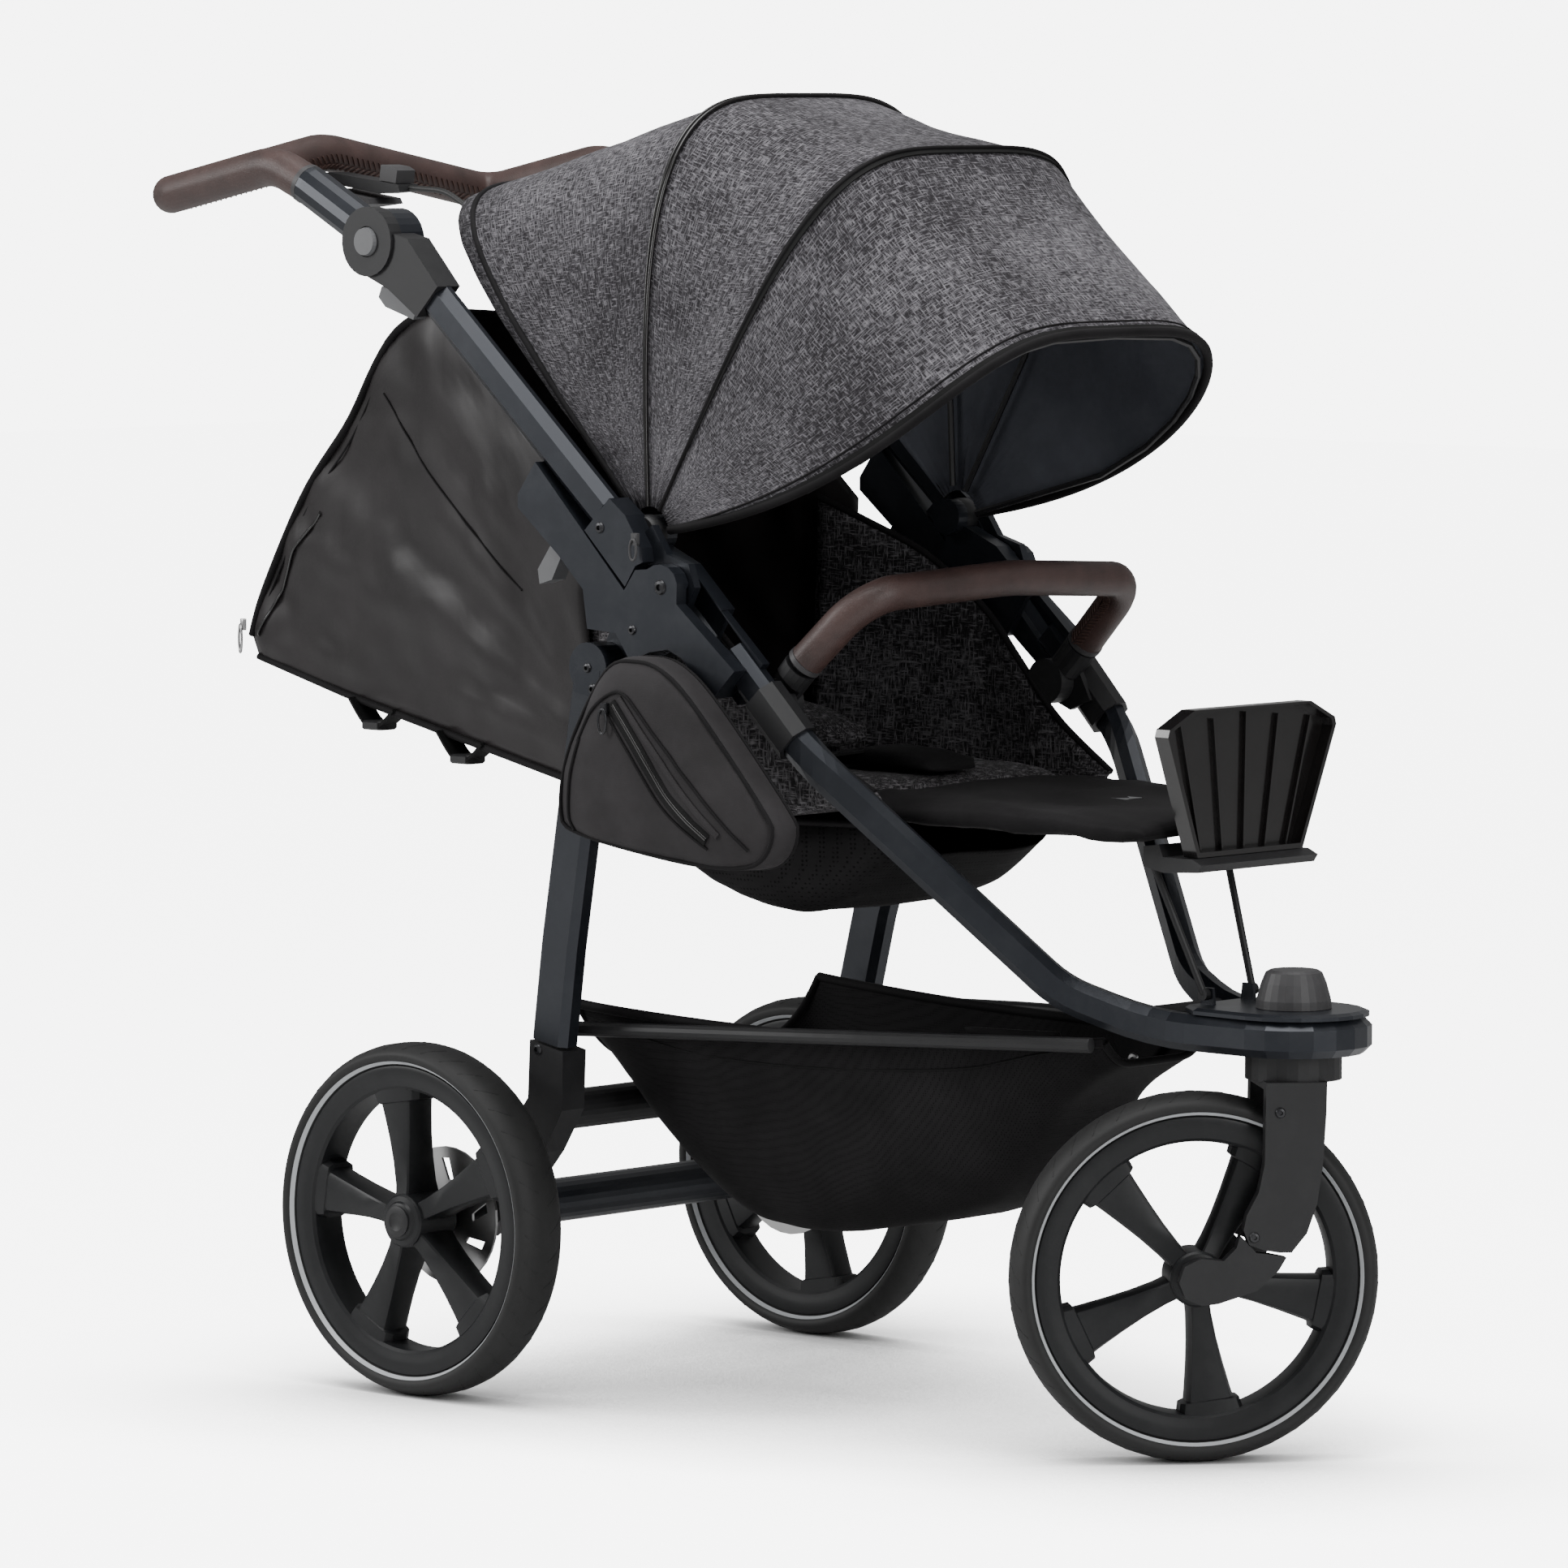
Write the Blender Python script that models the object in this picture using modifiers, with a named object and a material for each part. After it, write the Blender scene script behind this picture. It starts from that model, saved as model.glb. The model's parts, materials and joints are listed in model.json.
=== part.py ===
"""Three-wheeled baby stroller with a swivelling front wheel, reclined seat and folding frame.

Metres, +X is the way it travels, +Y is its left side, +Z is up. Distances along X are first laid out
forward of the rear axle and moved by ORIGIN_X, so that the origin is under the middle of the object.
"""
import math

import bmesh
import bpy
import numpy as np
from mathutils import Matrix, Vector

# ---- driving dimensions, metres forward of the rear axle / up from the floor -------------------
ORIGIN_X = 0.2095
GAP = 0.0004  # running gap between neighbouring pieces

WHEEL_R = 0.147
TYRE_HALF = 0.0255
RIM_R = 0.129  # where the tyre meets the rim
WINDOW_R = 0.108  # outside edge of the openings between the spokes
HUB_R = 0.021
TRACK_HALF = 0.242

FOLD_PIVOT = (0.254, 0.681)  # x, z of the upper frame's hinge
LEG_PIVOT = (0.172, 0.612)  # x, z of the rear leg's hinge
CANOPY_PIVOT = (0.213, 0.722)
HANDLE_PIVOT = (-0.079, 0.955)
STEER_X = 0.735
STEER_YAW = math.radians(50)
TRAIL = 0.079
SUSPENSION = (-0.031, 0.188)  # along the wheel's plane from the steering axis, height

TUBE_HIGH, TUBE_WIDE = 0.0290, 0.0210  # front frame extrusion
NOSE_R, NOSE_Z = 0.0515, 0.3390  # centre line of the front loop
UPPER_Y = 0.2080  # upper tubes, centre line
PLATE_Y = (0.1960, 0.2200)  # hub plates, inner and outer faces

GRIP_R, GRIP_BORE, HANDLE_R = 0.0163, 0.0120, 0.0116
BUMPER_GRIP_R, BUMPER_BORE, BUMPER_R = 0.0145, 0.0110, 0.0102


# ---- scene, collections, materials --------------------------------------------------------------
for old in list(bpy.data.objects):
    bpy.data.objects.remove(old, do_unlink=True)
scene = bpy.context.scene
scene.unit_settings.system = "METRIC"
scene.unit_settings.scale_length = 1.0
model = bpy.data.collections.new("baby_stroller")
cutters = bpy.data.collections.new("cutters")
for collection in (model, cutters):
    scene.collection.children.link(collection)


def material(name, colour, metallic=0.0, roughness=0.5):
    mat = bpy.data.materials.new(name)
    mat.use_nodes = True
    shader = mat.node_tree.nodes["Principled BSDF"]
    shader.inputs["Base Color"].default_value = (*colour, 1.0)
    shader.inputs["Metallic"].default_value = metallic
    shader.inputs["Roughness"].default_value = roughness
    mat.diffuse_color = (*colour, 1.0)
    return mat


FRAME = material("frame_paint", (0.030, 0.036, 0.046), 0.55, 0.38)
PLASTIC = material("black_plastic", (0.018, 0.018, 0.020), 0.0, 0.45)
GLOSS = material("gloss_plastic", (0.006, 0.006, 0.007), 0.0, 0.12)
GREY = material("grey_plastic", (0.150, 0.155, 0.165), 0.0, 0.45)
RIM = material("rim_plastic", (0.014, 0.014, 0.015), 0.0, 0.50)
TYRE = material("tyre_rubber", (0.022, 0.021, 0.021), 0.0, 0.75)
STEEL = material("disc_steel", (0.620, 0.620, 0.610), 1.0, 0.32)
LEATHER = material("brown_leather", (0.036, 0.018, 0.014), 0.0, 0.48)
MELANGE = material("grey_melange", (0.085, 0.085, 0.090), 0.0, 0.90)
FABRIC = material("black_fabric", (0.016, 0.014, 0.014), 0.0, 0.80)
MESH = material("black_mesh", (0.010, 0.010, 0.010), 0.0, 0.85)
CABLE = material("cable_sheath", (0.012, 0.012, 0.012), 0.0, 0.55)


# ---- building blocks ------------------------------------------------------------------------------
def at(x, y, z):
    """A point given forward of the rear axle, in the model's own frame."""
    return Vector((x - ORIGIN_X, y, z))


def add(name, mesh, mat, smooth=35):
    mesh.materials.clear()
    mesh.materials.append(mat)
    piece = bpy.data.objects.new(name, mesh)
    model.objects.link(piece)
    if smooth:
        mesh.shade_smooth()
        mesh.set_sharp_from_angle(angle=math.radians(smooth))
    return piece


def closed_mesh(name, verts, faces):
    mesh = bpy.data.meshes.new(name)
    mesh.from_pydata([tuple(v) for v in verts], [], faces)
    work = bmesh.new()
    work.from_mesh(mesh)
    bmesh.ops.remove_doubles(work, verts=work.verts, dist=1e-6)
    bmesh.ops.recalc_face_normals(work, faces=work.faces)
    if work.calc_volume(signed=True) < 0:
        bmesh.ops.reverse_faces(work, faces=work.faces)
    work.to_mesh(mesh)
    work.free()
    return mesh


def loft(name, rings):
    """Closed body through rings of equal point counts, with a flat cap at each end."""
    count = len(rings[0])
    verts = [p for ring in rings for p in ring]
    faces = []
    for k in range(len(rings) - 1):
        for i in range(count):
            j = (i + 1) % count
            faces.append((k * count + i, k * count + j, (k + 1) * count + j, (k + 1) * count + i))
    faces.append(tuple(reversed(range(count))))
    faces.append(tuple((len(rings) - 1) * count + i for i in range(count)))
    return closed_mesh(name, verts, faces)


def sleeve(name, outer, inner):
    """Hollow tube through matching outer and inner rings."""
    count, rows = len(outer[0]), len(outer)
    verts = [p for ring in outer for p in ring] + [p for ring in inner for p in ring]
    base = rows * count
    faces = []
    for k in range(rows - 1):
        for i in range(count):
            j = (i + 1) % count
            a, b, c, d = k * count + i, k * count + j, (k + 1) * count + j, (k + 1) * count + i
            faces += [(a, b, c, d), (base + d, base + c, base + b, base + a)]
    for i in range(count):
        j = (i + 1) % count
        end = (rows - 1) * count
        faces += [(i, base + i, base + j, j), (end + j, base + end + j, base + end + i, end + i)]
    return closed_mesh(name, verts, faces)


def rounded_path(points, radii, steps=5):
    """A polyline with each inner corner turned into an arc of the given radius."""
    points = [Vector(p) for p in points]
    if not hasattr(radii, "__len__"):
        radii = [radii] * (len(points) - 2)
    path = [points[0]]
    for k in range(1, len(points) - 1):
        before, here, after = points[k - 1], points[k], points[k + 1]
        u, v = (before - here).normalized(), (after - here).normalized()
        angle = u.angle(v)
        if abs(math.pi - angle) < 0.01 or radii[k - 1] <= 0:
            path.append(here)
            continue
        reach = radii[k - 1] / math.tan(angle / 2)
        centre = here + (u + v).normalized() * (radii[k - 1] / math.sin(angle / 2))
        a, b = here + u * reach - centre, here + v * reach - centre
        turn = a.angle(b)
        for s in range(steps + 1):
            t = s / steps
            path.append(centre + (a * math.sin((1 - t) * turn) + b * math.sin(t * turn)) / math.sin(turn))
    path.append(points[-1])
    return path


def frames_along(path, up):
    """Tangent, side and up vectors at each point; up stays as near the given direction as it can."""
    result = []
    for k, p in enumerate(path):
        a = (path[k] - path[k - 1]).normalized() if k else None
        b = (path[k + 1] - path[k]).normalized() if k < len(path) - 1 else None
        tangent = ((a or b) + (b or a)).normalized()
        side = Vector(up).cross(tangent).normalized()
        stretch = 1.0 / max(0.5, tangent.dot(b or a))
        result.append((p, side, tangent.cross(side).normalized(), stretch))
    return result


def circle(radius, count=14):
    return [(radius * math.cos(2 * math.pi * i / count), radius * math.sin(2 * math.pi * i / count))
            for i in range(count)]


def chamfered(wide, high, cut):
    w, h = wide / 2, high / 2
    return [(w, h - cut), (w - cut, h), (-w + cut, h), (-w, h - cut),
            (-w, -h + cut), (-w + cut, -h), (w - cut, -h), (w, -h + cut)]


def rings_along(path, section, up=(0, 0, 1)):
    return [[p + side * a + top * b for a, b in section] for p, side, top, _ in frames_along(path, up)]


def sweep(name, path, section, mat, up=(0, 0, 1), smooth=35):
    return add(name, loft(name, rings_along(path, section, up)), mat, smooth)


def prism_mesh(name, outline, y0, y1):
    """Outline of (x, z) points extruded along Y."""
    rings = [[at(x, y, z) for x, z in outline] for y in (y0, y1)]
    return loft(name, rings)


def cylinder_mesh(name, start, end, radius, count=20, radius_end=None):
    start, end = Vector(start), Vector(end)
    axis = (end - start).normalized()
    side = axis.orthogonal().normalized()
    other = axis.cross(side)
    rings = [[p + side * a + other * b for a, b in circle(r, count)]
             for p, r in ((start, radius), (end, radius if radius_end is None else radius_end))]
    return loft(name, rings)


def cutter(name, mesh):
    tool = bpy.data.objects.new(name, mesh)
    tool.hide_render = True
    tool.display_type = "WIRE"
    cutters.objects.link(tool)
    return tool


def boolean(piece, mesh, operation="DIFFERENCE"):
    step = piece.modifiers.new(operation.lower(), "BOOLEAN")
    step.operation = operation
    step.solver = "EXACT"
    step.object = cutter(f"{piece.name}_{operation.lower()}_{len(piece.modifiers)}", mesh)
    return piece


def set_origin(piece, point):
    """Puts the piece's origin on its joint without moving its surface."""
    shift = Vector(point)
    piece.data.transform(Matrix.Translation(-shift))
    piece.location = shift


def axis_marker(name, point, direction):
    mark = bpy.data.objects.new(f"axis_{name}", None)
    mark.empty_display_type = "SINGLE_ARROW"
    mark.empty_display_size = 0.04
    mark.location = point
    mark.rotation_mode = "QUATERNION"
    mark.rotation_quaternion = Vector((0, 0, 1)).rotation_difference(Vector(direction))
    model.objects.link(mark)


SIDES = (("right", -1), ("left", 1))

# ---- front frame: one tube from hub to hub round the nose -----------------------------------------
half = rounded_path(
    [at(0.312, -0.1955, 0.628), at(0.392, -0.1910, 0.548), at(0.5620, -0.0800, 0.365),
     at(0.634, -NOSE_R, NOSE_Z), at(STEER_X, -NOSE_R, NOSE_Z)],
    [0.14, 0.09, 0.16], steps=4)
nose = [at(STEER_X + NOSE_R * math.sin(t), -NOSE_R * math.cos(t), NOSE_Z)
        for t in np.linspace(0, math.pi, 11)]
front_path = half[:-1] + nose + [Vector((p.x, -p.y, p.z)) for p in reversed(half[:-1])]
front_section = chamfered(TUBE_WIDE, TUBE_HIGH, 0.0065)
front_tube = sweep("front_tube", front_path, front_section, FRAME)


def around_front_tube(clearance):
    section = chamfered(TUBE_WIDE + 2 * clearance, TUBE_HIGH + 2 * clearance, 0.0065)
    path = [front_path[0] * 2 - front_path[1]] + front_path[1:-1] + [front_path[-1] * 2 - front_path[-2]]
    return loft("front_tube_space", rings_along(path, section))


# ---- hub plates, which join the front tube, rear legs and upper tubes ----------------------------
PLATE = [(0.093, 0.740), (0.093, 0.751), (0.113, 0.778), (0.2135, 0.677), (0.226, 0.694), (0.239, 0.695),
         (0.2465, 0.6985), (0.254, 0.6995), (0.2625, 0.6975), (0.2690, 0.6925), (0.2725, 0.6850),
         (0.2720, 0.6680), (0.336, 0.6170), (0.312, 0.594), (0.277, 0.625), (0.262, 0.631), (0.242, 0.628),
         (0.220, 0.6200), (0.2040, 0.6420), (0.172, 0.6440), (0.167, 0.676), (0.139, 0.703)]
for side_name, s in SIDES:
    plate = add(f"hub_plate_{side_name}", prism_mesh("hub_plate", PLATE, s * PLATE_Y[0], s * PLATE_Y[1]),
                FRAME)
    # A slot takes the upper tube's tongue; the inner cheek reaches forward under the front tube's end.
    boolean(plate, cylinder_mesh("tongue_space", at(FOLD_PIVOT[0], s * 0.1979, FOLD_PIVOT[1]),
                                 at(FOLD_PIVOT[0], s * 0.2067, FOLD_PIVOT[1]), 0.0335, 24))
    cheek = [(0.160, 0.612), (0.205, 0.700), (0.2055, 0.716), (0.2220, 0.716), (0.262, 0.6990),
             (0.300, 0.6638),
             (0.2745, 0.6240), (0.262, 0.634), (0.184, 0.604)]
    boolean(plate, prism_mesh("cheek", cheek, s * 0.1805, s * 0.1964), "UNION")
    # It is thinner beside the bumper bar's swing.
    toe = [(0.268, 0.6910), (0.345, 0.622), (0.318, 0.588), (0.268, 0.630)]
    boolean(plate, prism_mesh("toe", toe, s * 0.1877, s * 0.1963), "UNION")
    boolean(plate, cylinder_mesh("boss", at(CANOPY_PIVOT[0], s * 0.1720, CANOPY_PIVOT[1]),
                                 at(CANOPY_PIVOT[0], s * 0.1962, CANOPY_PIVOT[1]), 0.0150, 24), "UNION")
    boolean(plate, cylinder_mesh("leg_boss", at(LEG_PIVOT[0], s * 0.1825, LEG_PIVOT[1]),
                                 at(LEG_PIVOT[0], s * 0.1960, LEG_PIVOT[1]), 0.0180, 24), "UNION")
    boolean(plate, around_front_tube(GAP))

# ---- nose: cover plate, crossbar, steering knob ---------------------------------------------------
nose_outline = [at(0.657, -0.040, 0), at(0.680, -0.058, 0)]
nose_outline += [at(STEER_X + 0.0600 * math.sin(t), -0.0600 * math.cos(t),
                    0) for t in np.linspace(0, math.pi, 13)]
nose_outline += [at(0.680, 0.058, 0), at(0.657, 0.040, 0)]
head_plate = add("head_plate", loft("head_plate", [
    [Vector((p.x, p.y, 0.3540)) for p in nose_outline], [Vector((p.x, p.y, 0.3570)) for p in nose_outline],
    [Vector(((p.x - at(0.70, 0, 0).x) * 0.95 + at(0.70, 0, 0).x, p.y * 0.93,
             0.3590)) for p in nose_outline]]),
    FRAME)
web_outline = [at(0.662, -0.0400, 0)]
web_outline += [at(STEER_X + 0.0400 * math.sin(t), -0.0400 * math.cos(t),
                   0) for t in np.linspace(0, math.pi, 13)]
web_outline += [at(0.662, 0.0400, 0)]
boolean(head_plate, loft("web", [[Vector((p.x, p.y, z)) for p in web_outline] for z in (0.3245, 0.3545)]),
        "UNION")

crossbar = add("front_crossbar", cylinder_mesh("front_crossbar", at(0.618, -0.0495, 0.3460),
                                               at(0.618, 0.0495, 0.3460), 0.0085, 14), PLASTIC)
boolean(crossbar, around_front_tube(GAP))


def turned(name, centre, profile, mat, steps=28, smooth=35):
    """Body of revolution about Z; the profile runs down its outer side as (radius, height)."""
    mesh = bpy.data.meshes.new(name)
    mesh.from_pydata([(r, 0, z) for r, z in profile], [(i, i + 1) for i in range(len(profile) - 1)], [])
    piece = add(name, mesh, mat, smooth=0)
    piece.location = centre
    screw = piece.modifiers.new("turn", "SCREW")
    screw.axis = "Z"
    screw.angle = 2 * math.pi
    screw.steps = screw.render_steps = steps
    screw.use_merge_vertices = True
    screw.merge_threshold = 0.00005
    screw.use_smooth_shade = True
    return piece


steer = at(STEER_X, 0, 0)
knob = turned("swivel_knob", steer, [(0, 0.3895), (0.0190, 0.3895), (0.0225, 0.3875), (0.0260, 0.3790),
                                     (0.0295, 0.3660), (0.0300, 0.3594), (0, 0.3594)], GREY)

# ---- fork, swing arm and front wheel, laid out along their own plane then turned ------------------
turn_fork = Matrix.Translation(steer) @ Matrix.Rotation(STEER_YAW, 4, "Z")


def fork_point(u, n, z):
    """u along the wheel's plane from the steering axis, n along its axle."""
    return turn_fork @ Vector((u, n, z))


def fork_prism(name, outline, n0, n1):
    return loft(name, [[fork_point(u, n, z) for u, z in outline] for n in (n0, n1)])


FORK_SIDE = [(-0.0290, 0.3040), (-0.0300, 0.2400), (-0.0345, 0.2180), (-0.0440, 0.2000), (-0.0465, 0.1880),
             (-0.0420, 0.1765), (-0.0300, 0.1720), (-0.0180, 0.1700), (-0.0080, 0.1700),
             (0.0040, 0.1850), (0.0120, 0.2080), (0.0165, 0.2400), (0.0190, 0.2800), (0.0195, 0.3040)]
FORK_IN, FORK_OUT = 0.0290, 0.0410
fork = add("front_fork", fork_prism("front_fork", FORK_SIDE, -FORK_OUT, -FORK_IN), PLASTIC)
boolean(fork, fork_prism("fork_leg", FORK_SIDE, FORK_IN, FORK_OUT), "UNION")
crown = [(-0.0290, 0.2980), (-0.0290, 0.3045), (0.0195, 0.3045), (0.0190, 0.2900), (0.0060, 0.2900)]
boolean(fork, fork_prism("crown", crown, -FORK_OUT + 0.0005, FORK_OUT - 0.0005), "UNION")
boolean(fork, cylinder_mesh("bearing", steer + Vector((0, 0, 0.3035)), steer + Vector((0, 0, 0.3235)),
                            0.0385, 28),
        "UNION")

ARM_SIDE = [(-0.0660, 0.1300), (-0.0790, 0.1285), (-0.0920, 0.1340), (-0.0975, 0.1470), (-0.0930, 0.1600),
            (-0.0800, 0.1660), (-0.0620, 0.1640), (-0.0520, 0.1740), (-0.0490, 0.1840), (-0.0360, 0.1700),
            (-0.0240, 0.1685), (-0.0120, 0.1660), (-0.0180, 0.1560), (-0.0350, 0.1400)]
swing = add("swing_arm", fork_prism("swing_arm", ARM_SIDE, -0.0405, -0.0292), PLASTIC)
boolean(swing, fork_prism("swing_arm_far", ARM_SIDE, 0.0292, 0.0405), "UNION")
# The axle joins the two arms through the hub.
boolean(swing, cylinder_mesh("axle", fork_point(-TRAIL, -0.0380, WHEEL_R),
                             fork_point(-TRAIL, 0.0380, WHEEL_R),
                             0.0060, 20), "UNION")
for n0, n1 in ((-0.0415, -0.0287), (0.0287, 0.0415)):
    grown = fork_prism("fork_space", [(u * 1.0 + (0.0004 if u > -0.03 else -0.0004), z - 0.0006)
                                      for u, z in FORK_SIDE], n0, n1)
    boolean(swing, grown)

TYRE_PROFILE = [(RIM_R, -0.0185), (RIM_R + 0.0080, -TYRE_HALF), (0.1415, -0.0205), (WHEEL_R, -0.0060),
                (WHEEL_R, 0.0060), (0.1415, 0.0205), (RIM_R + 0.0080, TYRE_HALF), (RIM_R, 0.0185)]


def wheel(side_name, placing, axle_bore, first_spoke):
    """Rim with five spokes and a hub, and the tyre round it; placing takes (plane, up, axle) to the model."""
    rim_name, tyre_name = f"{side_name}_rim", f"{side_name}_tyre"

    def spun(profile, count):
        return [[placing @ Vector((r * math.cos(a), y, r * math.sin(a))) for r, y in profile]
                for a in (2 * math.pi * i / count for i in range(count))]

    def ring_mesh(name, profile, count):
        rings = spun(profile, count)
        rows = len(profile)
        verts = [p for ring in rings for p in ring]
        faces = []
        for k in range(count):
            n = (k + 1) % count
            for i in range(rows):
                j = (i + 1) % rows
                faces.append((k * rows + i, k * rows + j, n * rows + j, n * rows + i))
        return closed_mesh(name, verts, faces)

    tyre = add(tyre_name, ring_mesh(tyre_name, TYRE_PROFILE, 44), TYRE, smooth=50)
    edge = RIM_R - GAP
    rim = add(rim_name, ring_mesh(rim_name, [(edge, -0.0185), (edge, 0.0185), (WINDOW_R + 0.004, 0.0185),
                                             (WINDOW_R, 0.0150), (WINDOW_R, -0.0150),
                                             (WINDOW_R + 0.004, -0.0185)], 44), RIM)
    hub = [placing @ Vector((0, -0.0245, 0)), placing @ Vector((0, 0.0245, 0))]
    boolean(rim, cylinder_mesh("hub", hub[0], hub[1], HUB_R, 20), "UNION")
    for i in range(5):
        a = math.radians(first_spoke + 72 * i)
        along, across = Vector((math.cos(a), 0, math.sin(a))), Vector((-math.sin(a), 0, math.cos(a)))
        rings = []
        for r, w, depth in ((0.0120, 0.0100, 0.0165), (0.0500, 0.0125, 0.0130), (0.0880, 0.0190, 0.0125),
                            (0.1120, 0.0225, 0.0135)):
            rings.append([placing @ (along * r + across * (w * p) + Vector((0, depth * q, 0)))
                          for p, q in ((-1, -0.7), (-0.7, -1), (0.7, -1), (1, -0.7),
                                       (1, 0.7), (0.7, 1), (-0.7, 1), (-1, 0.7))])
        boolean(rim, loft("spoke", rings), "UNION")
    if axle_bore:
        ends = [placing @ Vector((0, -0.05, 0)), placing @ Vector((0, 0.05, 0))]
        boolean(rim, cylinder_mesh("bore", ends[0], ends[1], axle_bore, 14))
    return rim, tyre


front_hub = fork_point(-TRAIL, 0, WHEEL_R)
wheel("front", Matrix.Translation(front_hub) @ Matrix.Rotation(STEER_YAW, 4, "Z"), 0.0060 + GAP, 277)

# ---- rear axle frame: legs, feet, crossbar, axle tube, wheels, brake discs ------------------------
for side_name, s in SIDES:
    leg_path = [at(LEG_PIVOT[0], s * 0.2082, LEG_PIVOT[1]), at(0.1690, s * 0.2082, 0.5900),
                at(0.1170, s * 0.1905, 0.380), at(0.1010, s * 0.1850, 0.2985)]
    leg = sweep(f"rear_leg_{side_name}", leg_path, chamfered(0.0230, 0.0400, 0.0060), FRAME, up=(1, 0, 0))
    knuckle_y = (0.1965, 0.2195)
    boolean(leg, cylinder_mesh("leg_head", at(LEG_PIVOT[0], s * knuckle_y[0], LEG_PIVOT[1]),
                               at(LEG_PIVOT[0], s * knuckle_y[1], LEG_PIVOT[1]), 0.0210, 22), "UNION")
    plate = bpy.data.objects[f"hub_plate_{side_name}"]
    boolean(plate, cylinder_mesh("leg_space", at(LEG_PIVOT[0], s * 0.1961, LEG_PIVOT[1]),
                                 at(LEG_PIVOT[0], s * 0.23, LEG_PIVOT[1]), 0.0216, 22))

    foot_outline = [(0.1200, 0.2915), (0.0825, 0.2990), (0.0760, 0.2500), (0.0130, 0.1760),
                    (-0.0200, 0.1600),
                    (-0.0210, 0.1340), (0.0080, 0.1250), (0.0330, 0.1420), (0.0900, 0.2050),
                    (0.1150, 0.2420)]
    foot = add(f"leg_foot_{side_name}", loft("leg_foot", [[at(x, s * (y + 0.10 * (z - 0.16) * lean), z)
                                                          for x, z in foot_outline]
                                                         for y, lean in ((0.1600, 0.6), (0.1835, 0.9))]),
                                                         PLASTIC)
    rear_hub = at(0, s * TRACK_HALF, WHEEL_R)
    wheel(f"rear_{side_name}", Matrix.Translation(rear_hub), 0.0060 + GAP, 27 if s < 0 else -80)
    disc_y = 0.2095
    disc = add(f"brake_disc_{side_name}", cylinder_mesh("brake_disc", at(0, s * (disc_y - 0.0012), WHEEL_R),
                                                        at(0, s * (disc_y + 0.0012), WHEEL_R), 0.0575,
                                                        30), STEEL)
    boolean(disc, cylinder_mesh("disc_bore", at(0, s * 0.19, WHEEL_R), at(0, s * 0.23, WHEEL_R), 0.0064,
                                14))
    for i in range(9):
        a = 2 * math.pi * i / 9
        slot = [at((r * math.cos(a + d)), s * 0.2, WHEEL_R + r * math.sin(a + d))
                for r, d in ((0.030, -0.10), (0.030, 0.12), (0.048, 0.30), (0.048, 0.12))]
        boolean(disc, loft("slot", [[Vector((p.x, y * s, p.z)) for p in slot] for y in (0.2, 0.22)]))

axle = add("axle_tube", cylinder_mesh("axle_tube", at(0, -0.1590, WHEEL_R), at(0, 0.1590, WHEEL_R),
                                      0.0185, 24),
           FRAME)
boolean(axle, cylinder_mesh("spindle", at(0, -0.2690, WHEEL_R), at(0, 0.2690, WHEEL_R), 0.0060, 20),
        "UNION")
rear_crossbar = add("rear_crossbar", cylinder_mesh("rear_crossbar", at(0.088, -0.1610, 0.238),
                                                   at(0.088, 0.1610, 0.238), 0.0165, 24), PLASTIC)
for side_name, s in SIDES:
    foot = bpy.data.objects[f"leg_foot_{side_name}"]
    for name, x, z, r in (("axle_space", 0, WHEEL_R, 0.0189), ("spindle_space", 0, WHEEL_R, 0.0064)):
        reach = 0.1596 if name == "axle_space" else 0.30
        boolean(foot, cylinder_mesh(name, at(x, s * 0.10, z), at(x, s * reach, z), r, 24))
    boolean(foot, cylinder_mesh("crossbar_space", at(0.088, s * 0.10, 0.238),
                                at(0.088, s * 0.1614, 0.238), 0.0169, 24))

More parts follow.
